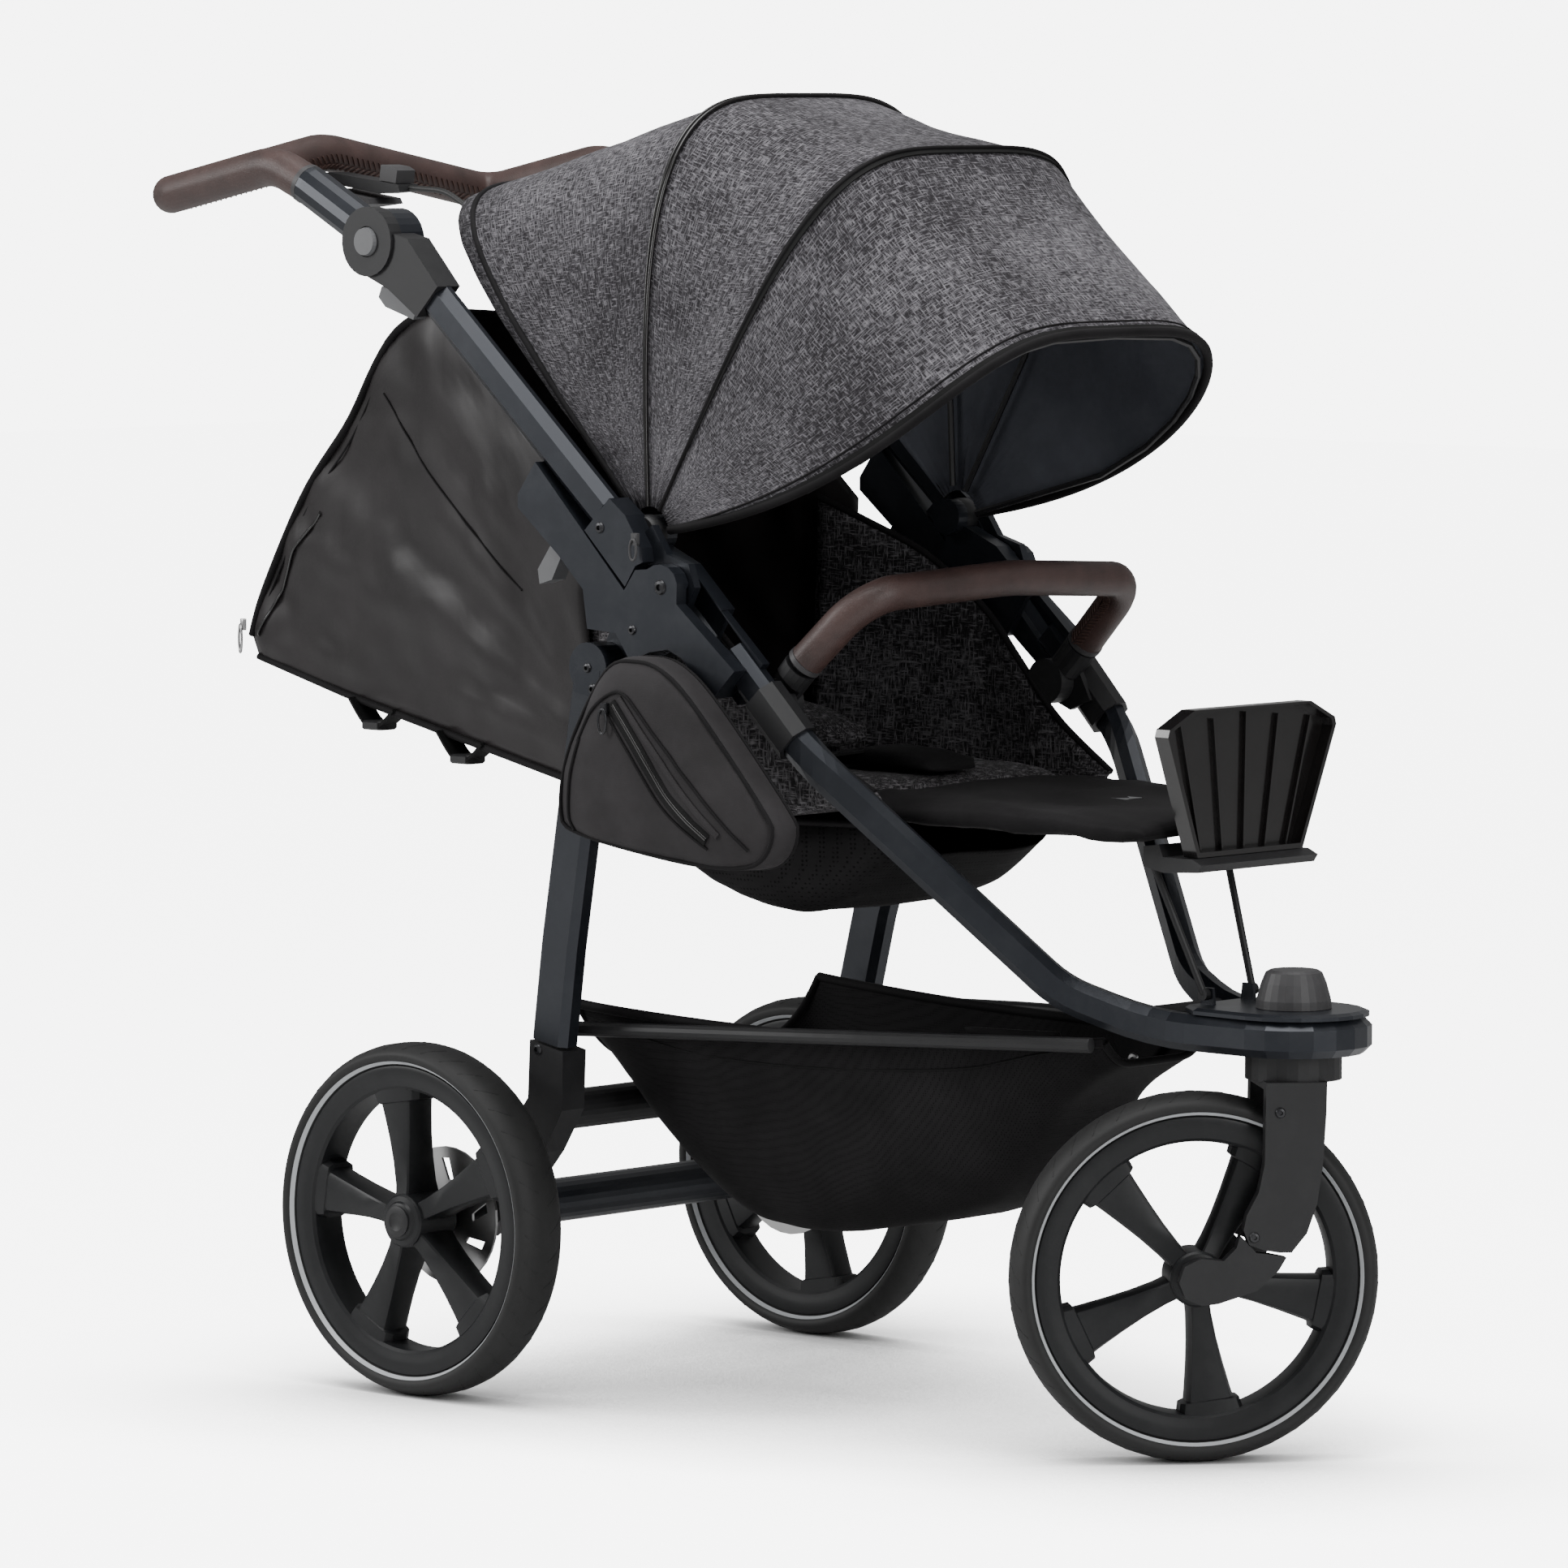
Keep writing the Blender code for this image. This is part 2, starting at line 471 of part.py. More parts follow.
# ---- upper frame: sleeves on the hinge, tubes, knuckles --------------------------------------------
SLEEVE = [(0.1685, 0.7240), (0.1965, 0.7510), (0.2140, 0.7380), (0.2320, 0.7120), (0.2340, 0.7005),
          (0.2255, 0.6970), (0.2140, 0.6800)]
TUBE_LOW, TUBE_TOP = (0.1830, 0.7390), (-0.0240, 0.9200)
for side_name, s in SIDES:
    path = [at(TUBE_LOW[0], s * UPPER_Y, TUBE_LOW[1]), at(TUBE_TOP[0], s * UPPER_Y, TUBE_TOP[1])]
    tube = sweep(f"upper_tube_{side_name}", path, chamfered(0.0200, 0.0320, 0.0075), FRAME)
    boolean(tube, prism_mesh("sleeve", SLEEVE, s * 0.1970, s * 0.2195), "UNION")
    # A tongue inside the hub plate carries the hinge.
    tongue = [(0.2150, 0.7180), (0.2320, 0.7300), (0.2480, 0.7070), (0.2720, 0.7000), (0.2790, 0.6810),
              (0.2690, 0.6620), (0.2540, 0.6560), (0.2390, 0.6620), (0.2290, 0.6810), (0.2200, 0.7000)]
    boolean(tube, prism_mesh("tongue", tongue, s * 0.1986, s * 0.2060), "UNION")
    arm = [(0.0020, 0.9190), (-0.0225, 0.8935), (-0.0560, 0.9160), (-0.0880, 0.9290)]
    knuckle = add(f"handle_knuckle_{side_name}", prism_mesh("knuckle", arm + [
        (-0.0700, 0.9500), (-0.0600, 0.9640), (-0.0340, 0.9580)], s * 0.1950, s * 0.2215), PLASTIC)
    boolean(knuckle, cylinder_mesh("knuckle_disc", at(HANDLE_PIVOT[0], s * 0.2105, HANDLE_PIVOT[1]),
                                   at(HANDLE_PIVOT[0], s * 0.2240, HANDLE_PIVOT[1]), 0.0290, 26), "UNION")
    beyond = path[1] + (path[1] - path[0]).normalized() * GAP
    boolean(knuckle, loft("tube_space", rings_along([path[0], beyond], chamfered(0.0208, 0.0328, 0.0075))))
    button_hole = cylinder_mesh("button_hole", at(HANDLE_PIVOT[0], s * 0.2180, HANDLE_PIVOT[1]),
                                at(HANDLE_PIVOT[0], s * 0.2300, HANDLE_PIVOT[1]), 0.0129, 24)
    boolean(knuckle, button_hole)
    add(f"handle_button_{side_name}", cylinder_mesh("handle_button",
                                                    at(HANDLE_PIVOT[0], s * 0.2222, HANDLE_PIVOT[1]),
                                                    at(HANDLE_PIVOT[0], s * 0.2275, HANDLE_PIVOT[1]),
                                                    0.0125, 24,
                                                    0.0112), GREY)

# ---- handle ------------------------------------------------------------------------------------------
handle_points = [at(-0.0980, -0.1990, 0.9620), at(-0.1680, -0.1990, 0.9990), at(-0.2130, -0.1990, 1.0180),
                 at(-0.3540, -0.1990, 0.9890), at(-0.3620, 0.0, 1.0270), at(-0.3540, 0.1990, 0.9890),
                 at(-0.2130, 0.1990, 1.0180), at(-0.1680, 0.1990, 0.9990), at(-0.0980, 0.1990, 0.9620)]
handle_path = rounded_path(handle_points, [0, 0.06, 0.022, 0.08, 0.022, 0.06, 0], steps=3)


def length_along(path):
    total = [0.0]
    for a, b in zip(path, path[1:]):
        total.append(total[-1] + (b - a).length)
    return total


def part_of(path, start, end):
    """The stretch of a path between two distances from its start."""
    marks = length_along(path)
    result = []

    def point(d):
        for k in range(len(path) - 1):
            if marks[k + 1] >= d - 1e-9:
                t = (d - marks[k]) / (marks[k + 1] - marks[k])
                return path[k].lerp(path[k + 1], t)
        return path[-1]

    result.append(point(start))
    result += [p for p, m in zip(path, marks) if start + 0.001 < m < end - 0.001]
    result.append(point(end))
    return result


handle_length = length_along(handle_path)[-1]
GRIP_START = 0.084
grip_path = part_of(handle_path, GRIP_START, handle_length - GRIP_START)
handle_bar = sweep("handle_bar", handle_path, circle(HANDLE_R, 12), FRAME)
for side_name, s in SIDES:
    pivot = at(HANDLE_PIVOT[0], 0, HANDLE_PIVOT[1])
    # Fitting between the tube and the hinge disc.
    ends = part_of(handle_path, 0.0, GRIP_START - 0.0005)
    ends = [Vector((p.x, s * abs(p.y), p.z)) for p in ends]
    boolean(handle_bar, loft("fitting", rings_along(ends, circle(0.0172, 14))), "UNION")
    boolean(handle_bar, cylinder_mesh("hinge_disc", Vector((pivot.x, s * 0.1830, pivot.z)),
                                      Vector((pivot.x, s * 0.2098, pivot.z)), 0.0275, 26), "UNION")
for side_name, s in SIDES:
    outer_disc = cylinder_mesh("outer_space", Vector((pivot.x, s * 0.2101, pivot.z)),
                               Vector((pivot.x, s * 0.2300, pivot.z)), 0.0294, 26)
    boolean(handle_bar, outer_disc)
    knuckle = bpy.data.objects[f"handle_knuckle_{side_name}"]
    boolean(knuckle, cylinder_mesh("inner_space", Vector((pivot.x, s * 0.1800, pivot.z)),
                                   Vector((pivot.x, s * 0.2102, pivot.z)), 0.0280, 26))
grip_rings = rings_along(grip_path, circle(GRIP_R, 12))
bore_rings = rings_along(grip_path, circle(GRIP_BORE, 12))
handle_grip = add("handle_grip", sleeve("handle_grip", grip_rings, bore_rings), LEATHER, 40)

# Brake lever below the middle of the crossbar, parking slider ahead of it, cable to the frame.
bracket = add("brake_bracket", prism_mesh("brake_bracket", [(-0.3560, 1.0075), (-0.3420, 1.0090),
                                                            (-0.2560, 0.9990),
                                                            (-0.2540, 0.9930), (-0.2800, 0.9910),
                                                            (-0.3500, 1.0010)],
                                          -0.0120, 0.0120), PLASTIC)
lever_outline = [(-0.3400, 0.9950), (-0.3250, 0.9925), (-0.2850, 0.9870), (-0.2820, 0.9820),
                 (-0.3080, 0.9790),
                 (-0.3700, 0.9820), (-0.3780, 0.9860), (-0.3700, 0.9890)]
brake_lever = add("brake_lever", prism_mesh("brake_lever", lever_outline, -0.0200, 0.0200), GREY)
slider_outline = [(-0.2800, 1.0025), (-0.2600, 1.0000), (-0.2580, 1.0110), (-0.2650, 1.0145),
                  (-0.2780, 1.0160)]
brake_slider = add("brake_slider", prism_mesh("brake_slider", slider_outline, -0.0110, 0.0110), GREY)

cable_path = rounded_path([at(-0.2530, 0, 0.9960), at(-0.2100, 0, 0.9940), at(-0.1360, 0, 0.9560),
                           at(-0.1120, 0.0, 0.8720)], [0.06, 0.08], steps=4)
cable = sweep("brake_cable", cable_path, circle(0.0025, 8), CABLE)

# ---- bumper bar and its clamps -------------------------------------------------------------------
bumper_points = [at(0.3360, -0.1720, 0.5900), at(0.3660, -0.1720, 0.6210), at(0.4170, -0.1640, 0.6700),
                 at(0.4290, -0.1380, 0.6800), at(0.4360, 0.0, 0.6870), at(0.4290, 0.1380, 0.6800),
                 at(0.4170, 0.1640, 0.6700), at(0.3660, 0.1720, 0.6210), at(0.3360, 0.1720, 0.5900)]
bumper_path = rounded_path(bumper_points, [0, 0.045, 0.022, 0.2, 0.022, 0.045, 0], steps=3)
bumper_length = length_along(bumper_path)[-1]
bumper = sweep("bumper_bar", bumper_path, circle(BUMPER_R, 12), PLASTIC)
bumper_grip_path = part_of(bumper_path, 0.0460, bumper_length - 0.0460)
bumper_grip = add("bumper_grip", sleeve("bumper_grip", rings_along(bumper_grip_path,
                                                                   circle(BUMPER_GRIP_R, 12)),
                                        rings_along(bumper_grip_path, circle(BUMPER_BORE, 12))), LEATHER,
                                        40)
BUMPER_PIVOT = (0.3360, 0.5900)
for side_name, s in SIDES:
    boolean(bumper, cylinder_mesh("bumper_eye", at(BUMPER_PIVOT[0], s * 0.1580, BUMPER_PIVOT[1]),
                                  at(BUMPER_PIVOT[0], s * 0.1735, BUMPER_PIVOT[1]), 0.0190, 24), "UNION")
    boolean(bumper, cylinder_mesh("bumper_cup", at(0.3473, s * 0.1721, 0.6016),
                                  at(0.3652, s * 0.1721, 0.6202),
                                  0.0141, 18, 0.0147), "UNION")
for side_name, s in SIDES:
    boolean(bumper, cylinder_mesh("bumper_clear", at(BUMPER_PIVOT[0], s * 0.1739, BUMPER_PIVOT[1]),
                                  at(BUMPER_PIVOT[0], s * 0.2000, BUMPER_PIVOT[1]), 0.0300, 24))
    clamp_path = [at(0.3435, s * 0.1936, 0.5960), at(0.3790, s * 0.1917, 0.5600)]
    clamp = sweep(f"bumper_clamp_{side_name}", clamp_path, chamfered(0.0290, 0.0370, 0.0090), PLASTIC)
    boolean(clamp, prism_mesh("clamp_lug", [(0.322, 0.590), (0.336, 0.604), (0.360, 0.598), (0.372, 0.575),
                                            (0.350, 0.566), (0.330, 0.574)], s * 0.1742, s * 0.1800),
                                            "UNION")
    boolean(clamp, around_front_tube(GAP))
    plate = bpy.data.objects[f"hub_plate_{side_name}"]
    grown = loft("clamp_space", rings_along(clamp_path, chamfered(0.0298, 0.0378, 0.0090)))
    boolean(plate, grown)
    boolean(plate, prism_mesh("lug_space", [(0.321, 0.590), (0.336, 0.6055), (0.3615, 0.599),
                                            (0.3735, 0.575),
                                            (0.350, 0.5645), (0.329, 0.573)], s * 0.1700, s * 0.1804))

# ---- seat: tub, backrest, rear hood, mesh pouch, leg rest -----------------------------------------


def walled(name, outer, inner, mat, smooth=45):
    """A thin-walled body: the outer shape less the inner one."""
    return boolean(add(name, outer, mat, smooth), inner)


def box_section(x, half, z0, z1, corner, rows=3):
    """A rounded rectangle across Y at one station."""
    ring = []
    for cy, cz, a0 in ((half - corner, z1 - corner, 0), (-half + corner, z1 - corner, 90),
                       (-half + corner, z0 + corner, 180), (half - corner, z0 + corner, 270)):
        for i in range(rows + 1):
            a = math.radians(a0 + 90 * i / rows)
            ring.append(at(x, cy + corner * math.cos(a), cz + corner * math.sin(a)))
    return ring


TUB = [(0.130, 0.1640, 0.5040, 0.640), (0.200, 0.1640, 0.4920, 0.650), (0.270, 0.1640, 0.4900, 0.628),
       (0.330, 0.1540, 0.4960, 0.575), (0.385, 0.1500, 0.5040, 0.534)]
seat_tub = walled("seat_tub", loft("tub", [box_section(x, w, z0, z1, 0.014) for x, w, z0, z1 in TUB]),
                  loft("tub_space", [box_section(x, w - 0.0060, z0 + 0.0090, z1 + 0.05, 0.010)
                                     for x, w, z0, z1 in ([(0.120, 0.1640, 0.5040, 0.640)] + TUB[1:-1]
                                                          + [(0.395, 0.1500, 0.5060, 0.540)])]), MELANGE)

BACK_HINGE = (0.170, 0.514)
back_dir = Vector((-0.440, 0, 0.086)).normalized()
back_up = Vector((0.086, 0, 0.440)).normalized()


def back_point(d, y, h):
    """d along the backrest from its hinge, h above its underside."""
    p = at(BACK_HINGE[0], y, BACK_HINGE[1]) + back_dir * d + back_up * h
    return p


def back_section(d, half, h0, h1, corner, rows=2):
    ring = []
    for cy, ch, a0 in ((half - corner, h1 - corner, 0), (-half + corner, h1 - corner, 90),
                       (-half + corner, h0 + corner, 180), (half - corner, h0 + corner, 270)):
        for i in range(rows + 1):
            a = math.radians(a0 + 90 * i / rows)
            ring.append(back_point(d, cy + corner * math.cos(a), ch + corner * math.sin(a)))
    return ring


backrest = add("backrest", loft("backrest", [back_section(d, w, h0, h1, 0.008) for d, w, h0, h1 in (
    (0.012, 0.1400, 0.012, 0.032), (0.030, 0.1460, 0.010, 0.034), (0.240, 0.1280, 0.010, 0.036),
    (0.435, 0.1120, 0.010, 0.034), (0.450, 0.1080, 0.012, 0.030))]), MELANGE, 45)

HOOD = [(0.118, 0.506), (-0.060, 0.540), (-0.200, 0.567), (-0.318, 0.594), (-0.326, 0.612), (-0.300, 0.645),
        (-0.232, 0.728), (-0.165, 0.792), (-0.130, 0.840), (-0.105, 0.874), (-0.062, 0.902), (0.118, 0.735)]
HOOD_IN = [(0.130, 0.5068), (-0.060, 0.5432), (-0.199, 0.5702), (-0.316, 0.5970), (-0.322, 0.6115),
           (-0.297, 0.6435), (-0.229, 0.7265), (-0.162, 0.7895), (-0.127, 0.8375), (-0.102, 0.8710),
           (-0.061, 0.8980), (-0.020, 0.940), (0.160, 0.760)]


def hood_ring(outline, side, inset):
    """One cheek of the hood, which narrows towards the foot of the reclined back."""
    return [at(x, side * (0.160 + 0.0936 * (x - 0.118) + 0.0515 * (z - 0.6) - inset), z) for x,
            z in outline]


rear_hood = walled("rear_hood", loft("rear_hood", [hood_ring(HOOD, s, 0) for s in (-1, 1)]),
                   loft("hood_space", [hood_ring(HOOD_IN, s, 0.0030) for s in (-1, 1)]), FABRIC, 30)

POUCH = [(0.140, 0.1300, 0.4780), (0.180, 0.1350, 0.4520), (0.230, 0.1350, 0.4240), (0.290, 0.1300, 0.4120),
         (0.340, 0.1180, 0.4280), (0.388, 0.1040, 0.4600)]
pouch = walled("seat_pouch", loft("pouch", [box_section(x, w, z0, z0 + 0.0070 + 0.9 * (0.4860 - z0), 0.0030)
                                            for x, w, z0 in POUCH]),
               loft("pouch_space", [box_section(x, w - 0.0030, z0 + 0.0030, 0.5200, 0.0020)
                                    for x, w, z0 in [(0.132, 0.1300, 0.4780)] + POUCH[1:-1]
                                    + [(0.398, 0.1040, 0.4640)]]), MESH)

LEG_HINGE = (0.4100, 0.5060)
LEG = [(0.3890, 0.1430, 0.4980, 0.5160), (0.4300, 0.1420, 0.4940, 0.5140), (0.5400, 0.1250, 0.4900, 0.5100),
       (0.6300, 0.1040, 0.4900, 0.5080), (0.6560, 0.0980, 0.4930, 0.5050)]
leg_rest = add("leg_rest", loft("leg_rest", [box_section(x, w, z0, z1, 0.0050, 2) for x, w, z0, z1 in LEG]),
               FABRIC, 45)
crotch = add("crotch_strap", loft("crotch_strap", [box_section(x, 0.0300, z0, z0 + 0.0120, 0.0040,
                                                               2) for x, z0 in (
    (0.3000, 0.5110), (0.3300, 0.5130), (0.3600, 0.5145), (0.3820, 0.5170))]), FABRIC, 45)

# Footboard, standing up at the end of the leg rest, its carrier bar and two stay rods.
BOARD = [(-0.0650, 0.4790), (-0.1040, 0.5760), (-0.1020, 0.5820), (-0.0720, 0.5960), (0.0720, 0.5960),
         (0.1020, 0.5820), (0.1040, 0.5760), (0.0650, 0.4790)]
BOARD_X = 0.6760
footboard = add("footboard", loft("footboard", [[at(x + 0.02 * (z - 0.479), y, z) for y, z in BOARD]
                                                for x in (BOARD_X, BOARD_X + 0.0035)]), GLOSS)
rim_out = [(y, z) for y, z in BOARD]
rim_in = [(y * 0.955, 0.4830 + (z - 0.479) * 0.95) for y, z in BOARD]
lip = loft("lip", [[at(x + 0.02 * (z - 0.479), y, z) for y,
                    z in BOARD] for x in (BOARD_X + 0.002, BOARD_X + 0.0140)])
boolean(footboard, lip, "UNION")
boolean(footboard, loft("tray", [[at(x + 0.02 * (z - 0.479), y, z) for y, z in rim_in]
                                 for x in (BOARD_X + 0.0036, BOARD_X + 0.0200)]))
for i in range(-2, 3):
    low, high = 0.0260 * i, 0.0400 * i
    rib = [(low - 0.0010, 0.4810), (high - 0.0010, 0.5910 - abs(i) * 0.0035),
           (high + 0.0010, 0.5910 - abs(i) * 0.0035),
           (low + 0.0010, 0.4810)]
    boolean(footboard, loft("rib", [[at(x + 0.02 * (z - 0.479), y, z) for y, z in rib]
                                    for x in (BOARD_X + 0.002, BOARD_X + 0.0070)]), "UNION")
foot_bar = add("footboard_bar", prism_mesh("footboard_bar", [(0.6400, 0.4700), (0.6400, 0.4860),
                                                             (0.6560, 0.4880),
                                                             (0.6600, 0.4784), (0.6900, 0.4784),
                                                             (0.7000, 0.4740),
                                                             (0.6960, 0.4680), (0.6600, 0.4660)],
                                           -0.0720, 0.0720), PLASTIC)
STAY_LOW = (0.6680, 0.3670)
for side_name, s in SIDES:
    stay = add(f"stay_rod_{side_name}", cylinder_mesh("stay_rod", at(STAY_LOW[0], s * 0.0300, STAY_LOW[1]),
                                                      at(0.6240, s * 0.0470, 0.4790), 0.0030, 12), PLASTIC)
    lug = prism_mesh("stay_lug", [(0.6610, 0.3575), (0.6750, 0.3575), (0.6735, 0.3720), (0.6625, 0.3720)],
                     s * 0.0235, s * 0.0264)
    boolean(head_plate, lug, "UNION")
    boolean(stay, cylinder_mesh("stay_eye", at(STAY_LOW[0], s * 0.0270, STAY_LOW[1]),
                                at(STAY_LOW[0], s * 0.0325, STAY_LOW[1]), 0.0048, 14), "UNION")

# ---- basket and its two rails ------------------------------------------------------------------------
for side_name, s in SIDES:
    rail_path = rounded_path([at(0.0880, s * 0.1600, 0.3060), at(0.3600, s * 0.1380, 0.3180),
                              at(0.5900, s * 0.0760, 0.3240)], [0.5])
    rail = sweep(f"basket_rail_{side_name}", rail_path, circle(0.0062, 12), PLASTIC)
    boolean(rail, around_front_tube(GAP))
BASKET = [(0.092, 0.1470, 0.276), (0.135, 0.1450, 0.222), (0.200, 0.1400, 0.166), (0.250, 0.1360, 0.149),
          (0.320, 0.1300, 0.149), (0.415, 0.1140, 0.168), (0.474, 0.0960, 0.190), (0.508, 0.0870, 0.230),
          (0.538, 0.0780, 0.270), (0.592, 0.0620, 0.306)]
BASKET_TOP = 0.3260


def basket_ring(x, half, z0, inset, top):
    """Deep U across Y, narrower at the bottom."""
    h = half - inset
    floor = max(0.02, h * 0.80)
    z = z0 + inset
    return [at(x, h, top), at(x, -h, top), at(x, -(h + floor) / 2 - 0.004, (z * 0.55 + top * 0.45)),
            at(x, -floor, z + 0.010), at(x, -floor + 0.014, z), at(x, floor - 0.014, z),
            at(x, floor, z + 0.010),
            at(x, (h + floor) / 2 + 0.004, (z * 0.55 + top * 0.45))]


basket = walled("basket", loft("basket", [basket_ring(x, w, z0, 0, BASKET_TOP) for x, w, z0 in BASKET]),
                loft("basket_space", [basket_ring(x, w, z0, 0.0030, BASKET_TOP + 0.02) for x, w, z0 in
                                      [(0.0950, 0.1470,
                                        0.276)] + BASKET[1:-1] + [(0.6030, 0.0600, 0.300)]]), FABRIC)

# ---- canopy on three bows ----------------------------------------------------------------------------


def canopy_arch(angle_side, angle_top, radius, squareness, count=17, offset=0.0, low=0.0):
    """One arch over the seat, foot to foot; its crown stands at angle_top seen from the side."""
    ring = []
    for i in range(count):
        t = math.pi * i / (count - 1)
        across = -math.copysign(abs(math.cos(t)) ** squareness, math.cos(t))
        rise = math.sin(t) ** squareness if 0 < i < count - 1 else 0.0
        a = math.radians(angle_side + (angle_top - angle_side) * rise ** 1.5)
        r = low + (radius - low - offset) * rise
        y = (CANOPY_HALF - offset) * across * (1 - 0.05 * rise ** 3)
        ring.append(at(CANOPY_PIVOT[0] + r * math.cos(a), y, CANOPY_PIVOT[1] + r * math.sin(a)))
    return ring


# Side angle, crown angle, crown radius and squareness of the arches, from the handle to the front edge.
ARCHES = [(136.0, 135.0, 0.390, 0.36), (121.0, 121.0, 0.354, 0.42), (105.0, 106.0, 0.342, 0.46),
          (92.0, 91.0, 0.353, 0.50), (75.0, 75.0, 0.340, 0.54), (59.0, 60.5, 0.358, 0.50),
          (42.0, 48.0, 0.345, 0.50), (26.0, 36.0, 0.355, 0.50), (9.0, 26.0, 0.379, 0.50)]
CANOPY_HALF = 0.1890


def canopy_mesh(name, thickness):
    """Two skins joined along their edges."""
    outer = [canopy_arch(a, b, r, q, low=0.022) for a, b, r, q in ARCHES]
    inner = [canopy_arch(a, b, r, q, offset=thickness, low=0.022) for a, b, r, q in ARCHES]
    rows, count = len(outer), len(outer[0])
    verts = [p for ring in outer for p in ring] + [p for ring in inner for p in ring]
    base = rows * count
    faces = []
    for k in range(rows - 1):
        for i in range(count - 1):
            a, b, c, d = k * count + i, k * count + i + 1, (k + 1) * count + i + 1, (k + 1) * count + i
            faces += [(a, b, c, d), (base + d, base + c, base + b, base + a)]
        for i in (0, count - 1):
            faces.append((k * count + i, (k + 1) * count + i, base + (k + 1) * count + i,
                          base + k * count + i))
    for k in (0, rows - 1):
        for i in range(count - 1):
            faces.append((k * count + i, k * count + i + 1, base + k * count + i + 1, base + k * count + i))
    return closed_mesh(name, verts, faces)


canopy = add("canopy", canopy_mesh("canopy", 0.0030), MELANGE, 40)
for number, (a, b, r, q) in (("rear", ARCHES[3]), ("middle", ARCHES[5]), ("front", ARCHES[8])):
    bow_path = canopy_arch(a, b, r - 0.0012, q, count=19, offset=0.0072, low=0.026)
    sweep(f"canopy_bow_{number}", bow_path, circle(0.0026, 6), PLASTIC, up=(0.37, 0.13, 0.92))

# ---- side bag, release levers and adjusters -----------------------------------------------------------
BAG = [(0.222, 0.6160), (0.257, 0.6260), (0.290, 0.6180), (0.328, 0.5880), (0.400, 0.5120), (0.412, 0.4900),
       (0.396, 0.4660), (0.355, 0.4600), (0.289, 0.4640), (0.190, 0.4790), (0.170, 0.4960), (0.180, 0.5500)]
bag_mid = (sum(p[0] for p in BAG) / len(BAG), sum(p[1] for p in BAG) / len(BAG))
side_bag = add("side_bag", loft("side_bag", [
    [at(bag_mid[0] + (x - bag_mid[0]) * k, y, bag_mid[1] + (z - bag_mid[1]) * k) for x, z in BAG]
    for y, k in ((-0.2225, 0.96), (-0.2250, 1.0), (-0.2500, 0.99), (-0.2600, 0.90))]), FABRIC, 40)

for side_name, s in SIDES:
    add(f"fold_lever_{side_name}", prism_mesh("fold_lever", [(0.128, 0.7120), (0.138, 0.7000),
                                                             (0.128, 0.6820),
                                                             (0.114, 0.6780), (0.112, 0.6900)],
                                              s * 0.2000, s * 0.2160), GREY)
    plate = bpy.data.objects[f"hub_plate_{side_name}"]
    boolean(plate, prism_mesh("lever_space", [(0.1276, 0.7128), (0.1390, 0.7000), (0.1290, 0.6816),
                                              (0.110, 0.6700),
                                              (0.100, 0.7000)], s * 0.1990, s * 0.2170))
    add(f"handle_catch_{side_name}", prism_mesh("handle_catch", [(-0.0700, 0.9180), (-0.0555, 0.9140),
                                                                 (-0.0300, 0.8970), (-0.0330, 0.8910),
                                                                 (-0.0660, 0.9010), (-0.0740, 0.9090)],
                                                s * 0.2010, s * 0.2150), GREY)

# ---- joint axes ------------------------------------------------------------------------------------------
FORWARD_HINGE, BACK_HINGE_AXIS = (0, 1, 0), (0, -1, 0)
axle_dir = turn_fork.to_3x3() @ Vector((0, 1, 0))
CENTRES = {"frame_fold": at(FOLD_PIVOT[0], 0, FOLD_PIVOT[1]),
           "rear_fold": at(LEG_PIVOT[0], 0, LEG_PIVOT[1]),
           "handle_tilt": at(HANDLE_PIVOT[0], 0, HANDLE_PIVOT[1]), "rear_axle": at(0, 0, WHEEL_R),
           "canopy": at(CANOPY_PIVOT[0], 0, CANOPY_PIVOT[1]),
           "bumper": at(BUMPER_PIVOT[0], 0, BUMPER_PIVOT[1]),
           "stays": at(STAY_LOW[0], 0, STAY_LOW[1]), "leg_rest": at(LEG_HINGE[0], 0, LEG_HINGE[1]),
           "backrest": at(BACK_HINGE[0], 0, BACK_HINGE[1])}
axis_marker("frame_fold", CENTRES["frame_fold"], FORWARD_HINGE)
axis_marker("rear_fold", CENTRES["rear_fold"], BACK_HINGE_AXIS)
axis_marker("handle_tilt", CENTRES["handle_tilt"], FORWARD_HINGE)
axis_marker("steering", steer, (0, 0, 1))
axis_marker("suspension", fork_point(SUSPENSION[0], 0, SUSPENSION[1]), axle_dir)
axis_marker("front_spin", front_hub, axle_dir)
axis_marker("rear_spin", CENTRES["rear_axle"], FORWARD_HINGE)
axis_marker("canopy", CENTRES["canopy"], BACK_HINGE_AXIS)
axis_marker("bumper", CENTRES["bumper"], FORWARD_HINGE)
axis_marker("backrest", CENTRES["backrest"], FORWARD_HINGE)
axis_marker("leg_rest", CENTRES["leg_rest"], FORWARD_HINGE)

# Each moving piece has its origin on the joint that carries it.
ON_JOINT = {"upper_tube": "frame_fold", "handle_knuckle": "frame_fold", "rear_leg": "rear_fold",
            "leg_foot": "rear_fold", "axle_tube": "rear_fold", "rear_crossbar": "rear_fold",
            "handle_bar": "handle_tilt", "handle_grip": "handle_tilt", "brake_bracket": "handle_tilt",
            "brake_disc": "rear_axle", "rear_right": "rear_axle", "rear_left": "rear_axle",
            "bumper_bar": "bumper",
            "bumper_grip": "bumper", "canopy": "canopy", "backrest": "backrest", "leg_rest": "leg_rest",
            "footboard": "leg_rest", "stay_rod": "stays"}
for piece in list(model.objects):
    for start, centre in ON_JOINT.items():
        if piece.type in {"MESH", "CURVE"} and piece.name.startswith(start):
            set_origin(piece, CENTRES[centre])
            break
